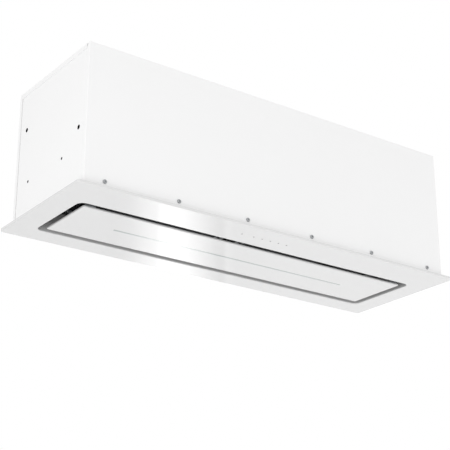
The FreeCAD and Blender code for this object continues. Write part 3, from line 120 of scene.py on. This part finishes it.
def new_material(name):
    """A material with an empty node tree."""
    material = bpy.data.materials.new(name)
    material.use_nodes = True
    material.node_tree.nodes.clear()
    return material, material.node_tree


def mesh_object(name, points, faces, material):
    """Object from arrays of points and of faces, with one material."""
    mesh = bpy.data.meshes.new(name)
    mesh.from_pydata(points.tolist(), [], faces.tolist())
    mesh.materials.append(material)
    mesh.update()
    made = bpy.data.objects.new(name, mesh)
    bpy.context.collection.objects.link(made)
    return made


def grid_faces(rows, columns):
    """Quads of a grid of rows by columns points: each point with its three neighbours."""
    index = np.arange(rows * columns).reshape(rows, columns)
    quads = [index[:-1, :-1], index[:-1, 1:], index[1:, 1:], index[1:, :-1]]
    return np.stack(quads, axis=-1).reshape(-1, 4)


def studio_floor():
    """Flat square of matt paint, pale grey and faintly cloudy."""
    material, tree = new_material("painted_floor")
    grain = node(tree, "ShaderNodeTexNoise", {"Scale": FLOOR_CLOUDS, "Detail": 4.0})
    tone = node(tree, "ShaderNodeMapRange", {"Value": grain.outputs["Fac"], "To Min": FLOOR_DARK,
                                             "To Max": FLOOR_PALE})
    matt = node(tree, "ShaderNodeBsdfDiffuse", {"Color": tone.outputs["Result"]})
    node(tree, "ShaderNodeOutputMaterial", {"Surface": matt.outputs["BSDF"]})
    reach = np.linspace(-FLOOR_HALF, FLOOR_HALF, FLOOR_POINTS)
    x, y = np.meshgrid(reach, reach)
    points = np.stack([x, y, np.full_like(x, FLOOR_LEVEL)], axis=-1).reshape(-1, 3)
    return mesh_object("floor", points, grid_faces(FLOOR_POINTS, FLOOR_POINTS), material)


def reflection_card():
    """Upright arc about the camera: a bright band with soft sides, and a faint one with a sharp
    left side. Its glow runs straight from each listed angle to the next."""
    angles, glows = np.array(CARD_GLOWS).T
    even = np.linspace(angles[0], angles[-1], CARD_COLUMNS - len(angles))
    beside = np.sort(np.concatenate([even, angles]))
    turn = CAMERA_YAW + np.radians(beside)
    radius = CAMERA_PLACE.xy.length + CARD_DISTANCE
    x = CAMERA_PLACE.x + radius * np.sin(turn)
    y = CAMERA_PLACE.y + radius * np.cos(turn)
    z = np.repeat(np.array(CARD_HEIGHTS), CARD_COLUMNS)
    points = np.stack([np.tile(x, 2), np.tile(y, 2), z], axis=-1)
    material, tree = new_material("glowing_card")
    level = node(tree, "ShaderNodeAttribute", attribute_name="glow")
    lit = node(tree, "ShaderNodeEmission", {"Color": linear(WHITE),
                                            "Strength": level.outputs["Fac"]})
    clear = node(tree, "ShaderNodeBsdfTransparent")
    both = node(tree, "ShaderNodeAddShader", {0: lit.outputs["Emission"],
                                              1: clear.outputs["BSDF"]})
    node(tree, "ShaderNodeOutputMaterial", {"Surface": both.outputs["Shader"]})
    card = mesh_object("reflection_card", points, grid_faces(2, CARD_COLUMNS), material)
    glow = card.data.attributes.new("glow", "FLOAT", "POINT")
    glow.data.foreach_set("value", np.tile(np.interp(beside, angles, glows), 2))
    card.visible_camera = False
    card.visible_diffuse = False
    card.visible_transmission = False
    card.visible_shadow = False
    return card


def studio_room():
    """White room: plain light on the object, pure white to the camera, in mirrors and through
    clear pieces."""
    world = bpy.data.worlds.new("white_room")
    world.use_nodes = True
    tree = world.node_tree
    tree.nodes.clear()
    path = node(tree, "ShaderNodeLightPath")
    seen = path.outputs["Is Camera Ray"]
    for ray in ("Is Glossy Ray", "Is Transmission Ray"):
        seen = node(tree, "ShaderNodeMath", {0: seen, 1: path.outputs[ray]},
                    operation="MAXIMUM").outputs["Value"]
    place = node(tree, "ShaderNodeTexCoord")
    height = node(tree, "ShaderNodeSeparateXYZ", {"Vector": place.outputs["Generated"]})
    plain = node(tree, "ShaderNodeMapRange", {"Value": height.outputs["Z"], "To Min": ROOM_LIGHT,
                                              "To Max": OVERHEAD_LIGHT})
    strength = node(tree, "ShaderNodeMix", {"Factor": seen, "A": plain.outputs["Result"],
                                            "B": BACKGROUND_LIGHT})
    light = node(tree, "ShaderNodeBackground", {"Color": linear(WHITE),
                                                "Strength": strength.outputs["Result"]})
    node(tree, "ShaderNodeOutputWorld", {"Surface": light.outputs["Background"]})
    bpy.context.scene.world = world


def soft_lamp(name, place, watts):
    """Square area lamp that faces the hood's middle."""
    lamp = bpy.data.objects.new(name, bpy.data.lights.new(name, "AREA"))
    lamp.data.shape = "SQUARE"
    lamp.data.size = LAMP_SIZE
    lamp.data.energy = watts
    lamp.location = place
    lamp.rotation_mode = "QUATERNION"
    lamp.rotation_quaternion = (place - HOOD_MIDDLE).to_track_quat("Z", "Y")
    lamp.visible_camera = False
    bpy.context.collection.objects.link(lamp)


studio_room()
studio_floor()
reflection_card()
for name, (place, watts) in LAMPS.items():
    soft_lamp(name, place, watts)
bpy.context.scene.view_settings.view_transform = "Standard"


# ---- Flange frame and suction panel skin ----
# Both are folded steel sheet with a thick gloss enamel, sprayed, stoved and left unpolished.
# It mirrors the room at a low angle, over an even white with a faint orange peel. A painted shade
# darkens it along the frame's outer rim, the opening's inner lip and the panel's edge sides.
ENAMEL_WHITE = "E3E3E3"
ENAMEL_SHADE = "E1E1E1"
ENAMEL_EDGE_SHADE = "A8A8A8"
ENAMEL_CLOUD_MM = 71.4
ENAMEL_PEEL_MM = 5.0
ENAMEL_PEEL_DEPTH_MM = 0.002
OPENING_LOW = Vector((-400.0, -69.0)) * MM
OPENING_HIGH = Vector((400.0, 101.0)) * MM
FRAME_CORNER_MM = 6.0
FRAME_SHADE_MM = 1.4                # the width of the painted shade along an edge, and how dark it gets
FRAME_SHADE_AMOUNT = 0.12
OPENING_CORNER_MM = 14.0
OPENING_SHADE_MM = 1.8
OPENING_SHADE_AMOUNT = 0.62
PANEL_CORNER_MM = 3.0
PANEL_SHADE_MM = 1.8
PANEL_SHADE_AMOUNT = 0.66


def dress(names, material):
    """Gives CAD nodes a material."""
    for name in names:
        mesh = nodes[name].data
        mesh.materials.clear()
        mesh.materials.append(material)


def outside(tree, at, low, high, corner):
    """Distance of a point outside an upright box with rounded corners: the length of what its
    offset from the middle has beyond the corners' centres, less the corner radius."""
    middle = [(low[i] + high[i]) / 2 for i in (0, 1)] + [0.0]
    centres = [(high[i] - low[i]) / 2 - corner for i in (0, 1)] + [0.0]
    offset = node(tree, "ShaderNodeVectorMath", {0: at, 1: middle}, operation="SUBTRACT")
    flat = node(tree, "ShaderNodeVectorMath", {0: offset.outputs["Vector"], 1: (1.0, 1.0, 0.0)},
                operation="MULTIPLY")
    folded = node(tree, "ShaderNodeVectorMath", {0: flat.outputs["Vector"]},
                  operation="ABSOLUTE")
    past = node(tree, "ShaderNodeVectorMath", {0: folded.outputs["Vector"], 1: centres},
                operation="SUBTRACT")
    beyond = node(tree, "ShaderNodeVectorMath", {0: past.outputs["Vector"], 1: (0.0, 0.0, 0.0)},
                  operation="MAXIMUM")
    length = node(tree, "ShaderNodeVectorMath", {0: beyond.outputs["Vector"]},
                  operation="LENGTH")
    distance = node(tree, "ShaderNodeMath", {0: length.outputs["Value"], 1: corner},
                    operation="SUBTRACT")
    return distance.outputs["Value"]


def gloss_enamel(name, edges):
    """Enamel, with a painted shade that darkens it at the edges. An edge is a box, its corner
    radius, how far the painted shade reaches outwards from it (inwards where less than 0), and how
    dark it gets."""
    material, tree = new_material(name)
    at = node(tree, "ShaderNodeTexCoord").outputs["Object"]
    cloud = node(tree, "ShaderNodeTexNoise", {"Vector": at, "Detail": 2.0,
                                              "Scale": 1 / (ENAMEL_CLOUD_MM * MM)})
    white = node(tree, "ShaderNodeMix", {"Factor": cloud.outputs["Fac"],
                                         "A": linear(ENAMEL_WHITE),
                                         "B": linear(ENAMEL_SHADE)}, data_type="RGBA")
    # painted shade: along each edge's band the white is mixed towards a darker grey
    edge_shade = 0.0
    for low, high, corner, reach, shade_amount in edges:
        near = node(tree, "ShaderNodeMapRange", {"Value": outside(tree, at, low, high, corner),
                                                 "From Max": reach, "To Min": shade_amount,
                                                 "To Max": 0.0})
        edge_shade = node(tree, "ShaderNodeMath", {0: near.outputs["Result"], 1: edge_shade},
                    operation="MAXIMUM").outputs["Value"]
    tint = node(tree, "ShaderNodeMix", {"Factor": edge_shade, "A": white.outputs["Result"],
                                        "B": linear(ENAMEL_EDGE_SHADE)}, data_type="RGBA")
    peel = node(tree, "ShaderNodeTexNoise", {"Vector": at, "Detail": 1.0,
                                             "Scale": 1 / (ENAMEL_PEEL_MM * MM)})
    bump = node(tree, "ShaderNodeBump", {"Height": peel.outputs["Fac"], "Strength": 0.5,
                                         "Distance": ENAMEL_PEEL_DEPTH_MM * MM})
    coat = node(tree, "ShaderNodeBsdfPrincipled", {
        "Base Color": tint.outputs["Result"], "Roughness": 0.42, "Coat Weight": 1.0,
        "Coat Roughness": 0.04, "Normal": bump.outputs["Normal"],
        "Coat Normal": bump.outputs["Normal"]})
    node(tree, "ShaderNodeOutputMaterial", {"Surface": coat.outputs["BSDF"]})
    return material


# painted shade on the frame's outer rim and opening lip, and on the panel's edge sides
frame_edge_shade = (*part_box("frame_bezel"), FRAME_CORNER_MM * MM, -FRAME_SHADE_MM * MM, FRAME_SHADE_AMOUNT)
opening_edge_shade = (OPENING_LOW, OPENING_HIGH, OPENING_CORNER_MM * MM, OPENING_SHADE_MM * MM,
                OPENING_SHADE_AMOUNT)
panel_edge_shade = (*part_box("panel_skin"), PANEL_CORNER_MM * MM, -PANEL_SHADE_MM * MM, PANEL_SHADE_AMOUNT)
dress(["frame_bezel"], gloss_enamel("gloss_enamel_on_frame", [frame_edge_shade, opening_edge_shade]))
dress(["panel_skin"], gloss_enamel("gloss_enamel_on_panel", [panel_edge_shade]))


# ---- Box ----
# Front, rear and end panels and the lid are 1 mm steel sheet, folded and powder coated satin white.
# The powder melts to a fine even grain with no mirror in it. Inside, above the filters, the sheet
# is only primed dark. On the ends, a painted shadow darkens the seam beside the wraps, and a ring
# of painted shade lies round each punched hole.
POWDER_WHITE = "F7F7F7"
POWDER_SHADE = "F5F5F5"
POWDER_CLOUD_MM = 200.0
POWDER_GRAIN_MM = 0.9              # about 0.3 in truth, drawn coarser so that it shows
POWDER_GRAIN_DEPTH_MM = 0.03
# painted shadow: a grey line on the end panels beside the wraps, for the shade in the seam
SEAM_SHADOW = "BEBEBE"
SEAM_SHADOW_MM = 1.2
WRAP_EDGE_MM = 126.0               # where the long panels' wraps end, from the box's middle
# painted shade: a near-black ring round each punched hole, so that the hole's dark looks wider
HOLE_RING_SHADE = "1C1D1E"
PUNCHED_HOLES_MM = [               # y and z of the middle, and the radius of the painted shade ring
    (100.0, 192.5, 4.5), (-106.5, 119.0, 4.5), (-48.5, 79.0, 2.8), (82.0, 79.0, 2.8),
]
PRIMER_GREY = "343537"
PRIMED_LOW = Vector((-430.9, -134.5, 40.0)) * MM
PRIMED_HIGH = Vector((430.9, 134.5, 278.5)) * MM


def inside_box(tree, at, low, high):
    """1 inside a box and 0 outside it: inside, a point's offset from the middle, made positive,
    is less than half the box's size along every axis."""
    offset = node(tree, "ShaderNodeVectorMath", {0: at, 1: (low + high) / 2},
                  operation="SUBTRACT")
    folded = node(tree, "ShaderNodeVectorMath", {0: offset.outputs["Vector"]},
                  operation="ABSOLUTE")
    past = node(tree, "ShaderNodeVectorMath", {0: folded.outputs["Vector"],
                                               1: (high - low) / 2}, operation="SUBTRACT")
    sides = node(tree, "ShaderNodeSeparateXYZ", {"Vector": past.outputs["Vector"]})
    farthest = sides.outputs["X"]
    for axis in ("Y", "Z"):
        farthest = node(tree, "ShaderNodeMath", {0: farthest, 1: sides.outputs[axis]},
                        operation="MAXIMUM").outputs["Value"]
    return node(tree, "ShaderNodeMath", {0: farthest, 1: 0.0},
                operation="LESS_THAN").outputs["Value"]


def in_seam_shadow(tree, at):
    """1 where a point's y, made positive, is past the start of the painted shadow beside the wraps.
    """
    axes = node(tree, "ShaderNodeSeparateXYZ", {"Vector": at})
    aside = node(tree, "ShaderNodeMath", {0: axes.outputs["Y"]}, operation="ABSOLUTE")
    return node(tree, "ShaderNodeMath", {0: aside.outputs["Value"],
                                         1: (WRAP_EDGE_MM - SEAM_SHADOW_MM) * MM},
                operation="GREATER_THAN").outputs["Value"]


def hole_shade_rings(tree, at):
    """1 where a point, seen along x, is within the painted shade ring round a hole."""
    upright = node(tree, "ShaderNodeVectorMath", {0: at, 1: (0.0, 1.0, 1.0)},
                   operation="MULTIPLY")
    ring_shade = 0.0
    for y, z, radius in PUNCHED_HOLES_MM:
        away = node(tree, "ShaderNodeVectorMath", {0: upright.outputs["Vector"],
                                                   1: (0.0, y * MM, z * MM)},
                    operation="DISTANCE")
        ring = node(tree, "ShaderNodeMath", {0: away.outputs["Value"], 1: radius * MM},
                    operation="LESS_THAN")
        ring_shade = node(tree, "ShaderNodeMath", {0: ring.outputs["Value"], 1: ring_shade},
                    operation="MAXIMUM").outputs["Value"]
    return ring_shade


def powder_coat(name, end_panel):
    """Powder coat, and primer inside the box. An end panel also shows a painted shadow in the seam
    beside the wraps, and a ring of painted shade round each hole."""
    material, tree = new_material(name)
    at = node(tree, "ShaderNodeTexCoord").outputs["Object"]
    cloud = node(tree, "ShaderNodeTexNoise", {"Vector": at, "Detail": 3.0,
                                              "Scale": 1 / (POWDER_CLOUD_MM * MM)})
    white = node(tree, "ShaderNodeMix", {"Factor": cloud.outputs["Fac"],
                                         "A": linear(POWDER_WHITE),
                                         "B": linear(POWDER_SHADE)}, data_type="RGBA")
    places = [(inside_box(tree, at, PRIMED_LOW, PRIMED_HIGH), PRIMER_GREY)]
    if end_panel:
        # painted shadow in the seam beside the wraps, and painted shade in a ring round each hole
        places += [(in_seam_shadow(tree, at), SEAM_SHADOW), (hole_shade_rings(tree, at), HOLE_RING_SHADE)]
    colour = white.outputs["Result"]
    for where, shade in places:
        colour = node(tree, "ShaderNodeMix", {"Factor": where, "A": colour, "B": linear(shade)},
                      data_type="RGBA").outputs["Result"]
    grain = node(tree, "ShaderNodeTexNoise", {"Vector": at, "Detail": 2.0,
                                              "Scale": 1 / (POWDER_GRAIN_MM * MM)})
    bump = node(tree, "ShaderNodeBump", {"Height": grain.outputs["Fac"], "Strength": 0.35,
                                         "Distance": POWDER_GRAIN_DEPTH_MM * MM})
    skin = node(tree, "ShaderNodeBsdfPrincipled", {
        "Base Color": colour, "Roughness": 0.5, "Normal": bump.outputs["Normal"]})
    node(tree, "ShaderNodeOutputMaterial", {"Surface": skin.outputs["BSDF"]})
    return material


dress(["front_panel", "rear_panel", "lid"], powder_coat("satin_powder_coat", False))
dress(["end_panel_left", "end_panel_right"], powder_coat("satin_powder_coat_with_painted_shade", True))


# ---- Screws, hinges, brackets, pulls and the motor's steel ----
# Turned, drawn and pressed steel, zinc plated before it is fitted.
# The plating is bright, faintly cloudy and a little blue.
ZINC = "B8BABC"
ZINC_DULL = "999B9D"
ZINC_CLOUD_MM = 4.0


def zinc_plate():
    """Bright zinc whose clouds are duller and darker than the rest."""
    material, tree = new_material("zinc_plated_steel")
    at = node(tree, "ShaderNodeTexCoord").outputs["Object"]
    cloud = node(tree, "ShaderNodeTexNoise", {"Vector": at, "Detail": 3.0,
                                              "Scale": 1 / (ZINC_CLOUD_MM * MM)})
    tint = node(tree, "ShaderNodeMix", {"Factor": cloud.outputs["Fac"], "A": linear(ZINC),
                                        "B": linear(ZINC_DULL)}, data_type="RGBA")
    rough = node(tree, "ShaderNodeMapRange", {"Value": cloud.outputs["Fac"], "To Min": 0.28,
                                              "To Max": 0.45})
    metal = node(tree, "ShaderNodeBsdfPrincipled", {
        "Base Color": tint.outputs["Result"], "Metallic": 1.0,
        "Roughness": rough.outputs["Result"]})
    node(tree, "ShaderNodeOutputMaterial", {"Surface": metal.outputs["BSDF"]})
    return material


dress(["side_screws", "lid_screws", "blower_screws", "collar_screws", "hinge_brackets",
       "hinge_pins", "hinge_leaves", "striker_plates", "hanger_plates", "motor_can",
       "motor_shaft", "motor_spider", "motor_bearings", "damper_pin", "filter_lug_left",
       "filter_lug_right", "filter_pull_left", "filter_pull_right"], zinc_plate())


# ---- Filter carrier and the panel's stiffening pan ----
# Pressed steel sheet with a matt black coat, fixed inside the box and on the panel's back.
# It keeps the inside dark behind the suction gap.
CARRIER_BLACK = "1C1C1D"
MATT_GRAIN_MM = 1.11               # about 0.2 in truth, drawn coarser so that it shows
MATT_GRAIN_DEPTH_MM = 0.03


def matt_black():
    """Black paint with a dry, grainy face."""
    material, tree = new_material("matt_black_coat")
    at = node(tree, "ShaderNodeTexCoord").outputs["Object"]
    grain = node(tree, "ShaderNodeTexNoise", {"Vector": at, "Detail": 2.0,
                                              "Scale": 1 / (MATT_GRAIN_MM * MM)})
    rough = node(tree, "ShaderNodeMapRange", {"Value": grain.outputs["Fac"], "To Min": 0.55,
                                              "To Max": 0.75})
    bump = node(tree, "ShaderNodeBump", {"Height": grain.outputs["Fac"], "Strength": 0.4,
                                         "Distance": MATT_GRAIN_DEPTH_MM * MM})
    skin = node(tree, "ShaderNodeBsdfPrincipled", {
        "Base Color": linear(CARRIER_BLACK), "Roughness": rough.outputs["Result"],
        "Specular IOR Level": 0.4, "Normal": bump.outputs["Normal"]})
    node(tree, "ShaderNodeOutputMaterial", {"Surface": skin.outputs["BSDF"]})
    return material


dress(["filter_carrier", "panel_backing"], matt_black())


# ---- Light window and key windows ----
# The light's window is opal acrylic with a hard clear coat, snapped into the panel from behind. It
# mirrors the room as the enamel does. The touch keys' small windows are uncoated smoked acrylic,
# flush with the frame.
OPAL = "B3BBBA"
SMOKE = "1E2021"
ACRYLIC_HAZE_MM = 4.55


def acrylic_window(name, colour, coat):
    """Smooth acrylic with a faint haze, under a clear coat or none."""
    material, tree = new_material(name)
    at = node(tree, "ShaderNodeTexCoord").outputs["Object"]
    haze = node(tree, "ShaderNodeTexNoise", {"Vector": at, "Detail": 2.0,
                                             "Scale": 1 / (ACRYLIC_HAZE_MM * MM)})
    rough = node(tree, "ShaderNodeMapRange", {"Value": haze.outputs["Fac"], "To Min": 0.05,
                                              "To Max": 0.1})
    window = node(tree, "ShaderNodeBsdfPrincipled", {
        "Base Color": linear(colour), "Roughness": rough.outputs["Result"],
        "Coat Weight": coat, "Coat Roughness": 0.04})
    node(tree, "ShaderNodeOutputMaterial", {"Surface": window.outputs["BSDF"]})
    return material


dress(["light_diffuser"], acrylic_window("opal_acrylic", OPAL, coat=1.0))
dress(["key_lenses"], acrylic_window("smoked_acrylic", SMOKE, coat=0.0))


# ---- Filter frames and light channel ----
# Roll-formed aluminium strip in a bright mill finish, with fine lines along the rolling direction.
# The frames close round the mesh; the channel is glued on the panel's back, over the window.
ALUMINIUM = "D3D5D7"
ALUMINIUM_LINE = "BFC1C4"
ROLLING_LINE_MM = 0.6              # about 0.1 in truth, drawn coarser so that it shows
ROLLING_STRETCH = (0.02, 1.0, 1.0)


def rolled_aluminium(name, colour, line_colour):
    """Aluminium with rolling lines along x, fifty times as long as they are wide."""
    material, tree = new_material(name)
    at = node(tree, "ShaderNodeTexCoord").outputs["Object"]
    stretch = node(tree, "ShaderNodeMapping", {"Vector": at, "Scale": ROLLING_STRETCH})
    lines = node(tree, "ShaderNodeTexNoise", {"Vector": stretch.outputs["Vector"], "Detail": 2.0,
                                              "Scale": 1 / (ROLLING_LINE_MM * MM)})
    tint = node(tree, "ShaderNodeMix", {"Factor": lines.outputs["Fac"], "A": linear(colour),
                                        "B": linear(line_colour)}, data_type="RGBA")
    rough = node(tree, "ShaderNodeMapRange", {"Value": lines.outputs["Fac"], "To Min": 0.25,
                                              "To Max": 0.42})
    metal = node(tree, "ShaderNodeBsdfPrincipled", {
        "Base Color": tint.outputs["Result"], "Metallic": 1.0,
        "Roughness": rough.outputs["Result"]})
    node(tree, "ShaderNodeOutputMaterial", {"Surface": metal.outputs["BSDF"]})
    return material


dress(["filter_frame_left", "filter_frame_right", "light_channel"],
      rolled_aluminium("rolled_aluminium", ALUMINIUM, ALUMINIUM_LINE))


# ---- Grease filter mesh ----
# Layers of slit and stretched aluminium foil, laid crosswise in the frame. Each layer is rows of
# zigzag strands that meet in pairs and leave diamond holes. The slitting oil and the air leave the
# foil duller than the frame, and a painted shade darkens it further, for the light its layers trap.
DIAMOND_LENGTH = 12.0 * MM
DIAMOND_WIDTH = 7.0 * MM
STRAND_WIDTH = 1.3 * MM
STRAND_THICK = 0.5 * MM
STRAND_SWING = 0.94 * DIAMOND_WIDTH / 4    # strands overlap at the points, side by side
MESH_LAYERS = 3
MESH_LIFT = 1.4 * MM               # from one layer to the next
# painted shade: the foil is drawn darker than its dullness alone, for the light its layers trap
FOIL_DULL_AND_SHADED = "7C7E81"
FOIL_LINE_DULL_AND_SHADED = "6C6E71"


def zigzag_layer(low, high, level, shift):
    """Strands y(x) = row +- a triangle wave of about a quarter diamond, as closed bars of four
    sides. Neighbouring rows run in opposite phase, so that they touch at the diamonds' points."""
    steps = int((high[0] - low[0]) / (DIAMOND_LENGTH / 2))
    rows = int((high[1] - low[1]) / (DIAMOND_WIDTH / 2)) - 1
    x = np.linspace(low[0], high[0], steps + 1)
    row = np.arange(rows)
    base = low[1] + (row + 1) * (high[1] - low[1]) / (rows + 1)
    phase = ((np.arange(steps + 1)[None, :] + row[:, None] + shift) % 2) * 2 - 1
    middle = base[:, None] + phase * STRAND_SWING
    middle = np.clip(middle, low[1] + STRAND_WIDTH, high[1] - STRAND_WIDTH)
    corners = np.array([(-1, -1), (1, -1), (1, 1), (-1, 1)]) / 2
    y = middle[:, :, None] + corners[None, None, :, 0] * STRAND_WIDTH
    z = level + corners[None, None, :, 1] * STRAND_THICK + 0 * y
    points = np.stack([np.broadcast_to(x[None, :, None], y.shape), y, z], axis=-1)
    index = np.arange(rows * (steps + 1) * 4).reshape(rows, steps + 1, 4)
    near, far = index[:, :-1], index[:, 1:]
    sides = np.stack([near, far, np.roll(far, -1, axis=2), np.roll(near, -1, axis=2)], axis=-1)
    caps = np.concatenate([index[:, 0, :], index[:, -1, ::-1]])
    return points.reshape(-1, 3), np.concatenate([sides.reshape(-1, 4), caps])


def expanded_mesh(side, foil):
    """All the layers of one filter, inside its frame."""
    low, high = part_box("filter_mesh_" + side)
    points, faces, count = [], [], 0
    for layer in range(MESH_LAYERS):
        level = low[2] + STRAND_THICK + layer * MESH_LIFT
        more, quads = zigzag_layer(low, high, level, layer)
        points.append(more)
        faces.append(quads + count)
        count += len(more)
    return mesh_object("mesh_pack_" + side, np.concatenate(points), np.concatenate(faces), foil)


foil = rolled_aluminium("dull_and_shaded_aluminium_foil", FOIL_DULL_AND_SHADED, FOIL_LINE_DULL_AND_SHADED)
for side in ("left", "right"):
    pack = expanded_mesh(side, foil)
    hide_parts("filter_mesh_" + side)
    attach(pack, "filter_" + side)


# ---- Blower scroll ----
# A wrap and two side plates of hot-dip galvanised sheet, seamed together.
# The zinc shows crystals about a centimetre across, each a little lighter or darker.
SPANGLE_MM = 9.0
GALVANISED = "AEB3B7"
GALVANISED_DARK = "9298A0"


def galvanised_sheet():
    """Zinc in flat crystals, each with its own shade and dullness."""
    material, tree = new_material("galvanised_sheet")
    at = node(tree, "ShaderNodeTexCoord").outputs["Object"]
    crystal = node(tree, "ShaderNodeTexVoronoi", {"Vector": at, "Scale": 1 / (SPANGLE_MM * MM)})
    tone = node(tree, "ShaderNodeSeparateColor", {"Color": crystal.outputs["Color"]})
    tint = node(tree, "ShaderNodeMix", {"Factor": tone.outputs["Red"], "A": linear(GALVANISED),
                                        "B": linear(GALVANISED_DARK)}, data_type="RGBA")
    rough = node(tree, "ShaderNodeMapRange", {"Value": tone.outputs["Green"], "To Min": 0.3,
                                              "To Max": 0.5})
    metal = node(tree, "ShaderNodeBsdfPrincipled", {
        "Base Color": tint.outputs["Result"], "Metallic": 1.0,
        "Roughness": rough.outputs["Result"]})
    node(tree, "ShaderNodeOutputMaterial", {"Surface": metal.outputs["BSDF"]})
    return material


dress(["scroll_wrap", "scroll_side_left", "scroll_side_right"], galvanised_sheet())


# ---- Impeller, inlet rings, collar, flaps, gland and magnet housings ----
# Mouldings of glass-filled nylon, with the fine matt texture of an etched mould. The wheel turns on
# the motor's shaft, the rings sit on the scroll's sides, and the collar and the gland on the lid.
BLACK_NYLON = "222325"
MOULD_GRAIN_MM = 0.5               # about 0.1 in truth, drawn coarser so that it shows
MOULD_GRAIN_DEPTH_MM = 0.03


def moulded_plastic(name, colour, smoothest, roughest):
    """Moulded plastic in one colour with an etched grain."""
    material, tree = new_material(name)
    at = node(tree, "ShaderNodeTexCoord").outputs["Object"]
    grain = node(tree, "ShaderNodeTexNoise", {"Vector": at, "Detail": 2.0,
                                              "Scale": 1 / (MOULD_GRAIN_MM * MM)})
    rough = node(tree, "ShaderNodeMapRange", {"Value": grain.outputs["Fac"],
                                              "To Min": smoothest, "To Max": roughest})
    bump = node(tree, "ShaderNodeBump", {"Height": grain.outputs["Fac"], "Strength": 0.4,
                                         "Distance": MOULD_GRAIN_DEPTH_MM * MM})
    skin = node(tree, "ShaderNodeBsdfPrincipled", {
        "Base Color": linear(colour), "Roughness": rough.outputs["Result"],
        "Normal": bump.outputs["Normal"]})
    node(tree, "ShaderNodeOutputMaterial", {"Surface": skin.outputs["BSDF"]})
    return material


dress(["impeller_wheel", "inlet_rings", "duct_collar", "damper_flap_near", "damper_flap_far",
       "cable_gland", "magnet_catches"],
      moulded_plastic("etched_black_nylon", BLACK_NYLON, smoothest=0.42, roughest=0.6))


# ---- Damper seat and motor grommets ----
# Black rubber, soft and dull: a ring in the collar's foot, on which the closed flaps lie, and the
# washers under the feet of the motor's spider.
BLACK_RUBBER = "18181A"

dress(["damper_seat", "motor_grommets"],
      moulded_plastic("soft_black_rubber", BLACK_RUBBER, smoothest=0.7, roughest=0.9))


# ---- Motor windings ----
# Laminated steel rings with copper windings inside the can, dipped in a brown varnish that fills
# the gaps and dries fairly glossy.
WINDING_BROWN = "7A5A42"

dress(["motor_stator", "motor_rotor"],
      moulded_plastic("varnished_laminations", WINDING_BROWN, smoothest=0.35, roughest=0.55))


# ---- Electrics ----
# Grey ABS housings; white polyamide cases for the capacitor, the driver and the terminals; and
# circuit boards under a glossy green solder mask. All are moulded or coated in one even colour.
ABS_GREY = "9A9DA0"
POLYAMIDE_WHITE = "E6E6E2"
MASK_GREEN = "1F5A35"

dress(["control_box", "control_cover", "key_cover"],
      moulded_plastic("grey_abs", ABS_GREY, smoothest=0.4, roughest=0.55))
dress(["capacitor", "light_driver", "terminal_block"],
      moulded_plastic("white_polyamide", POLYAMIDE_WHITE, smoothest=0.3, roughest=0.45))
dress(["control_board", "key_board", "light_strip"],
      moulded_plastic("solder_mask", MASK_GREEN, smoothest=0.2, roughest=0.35))
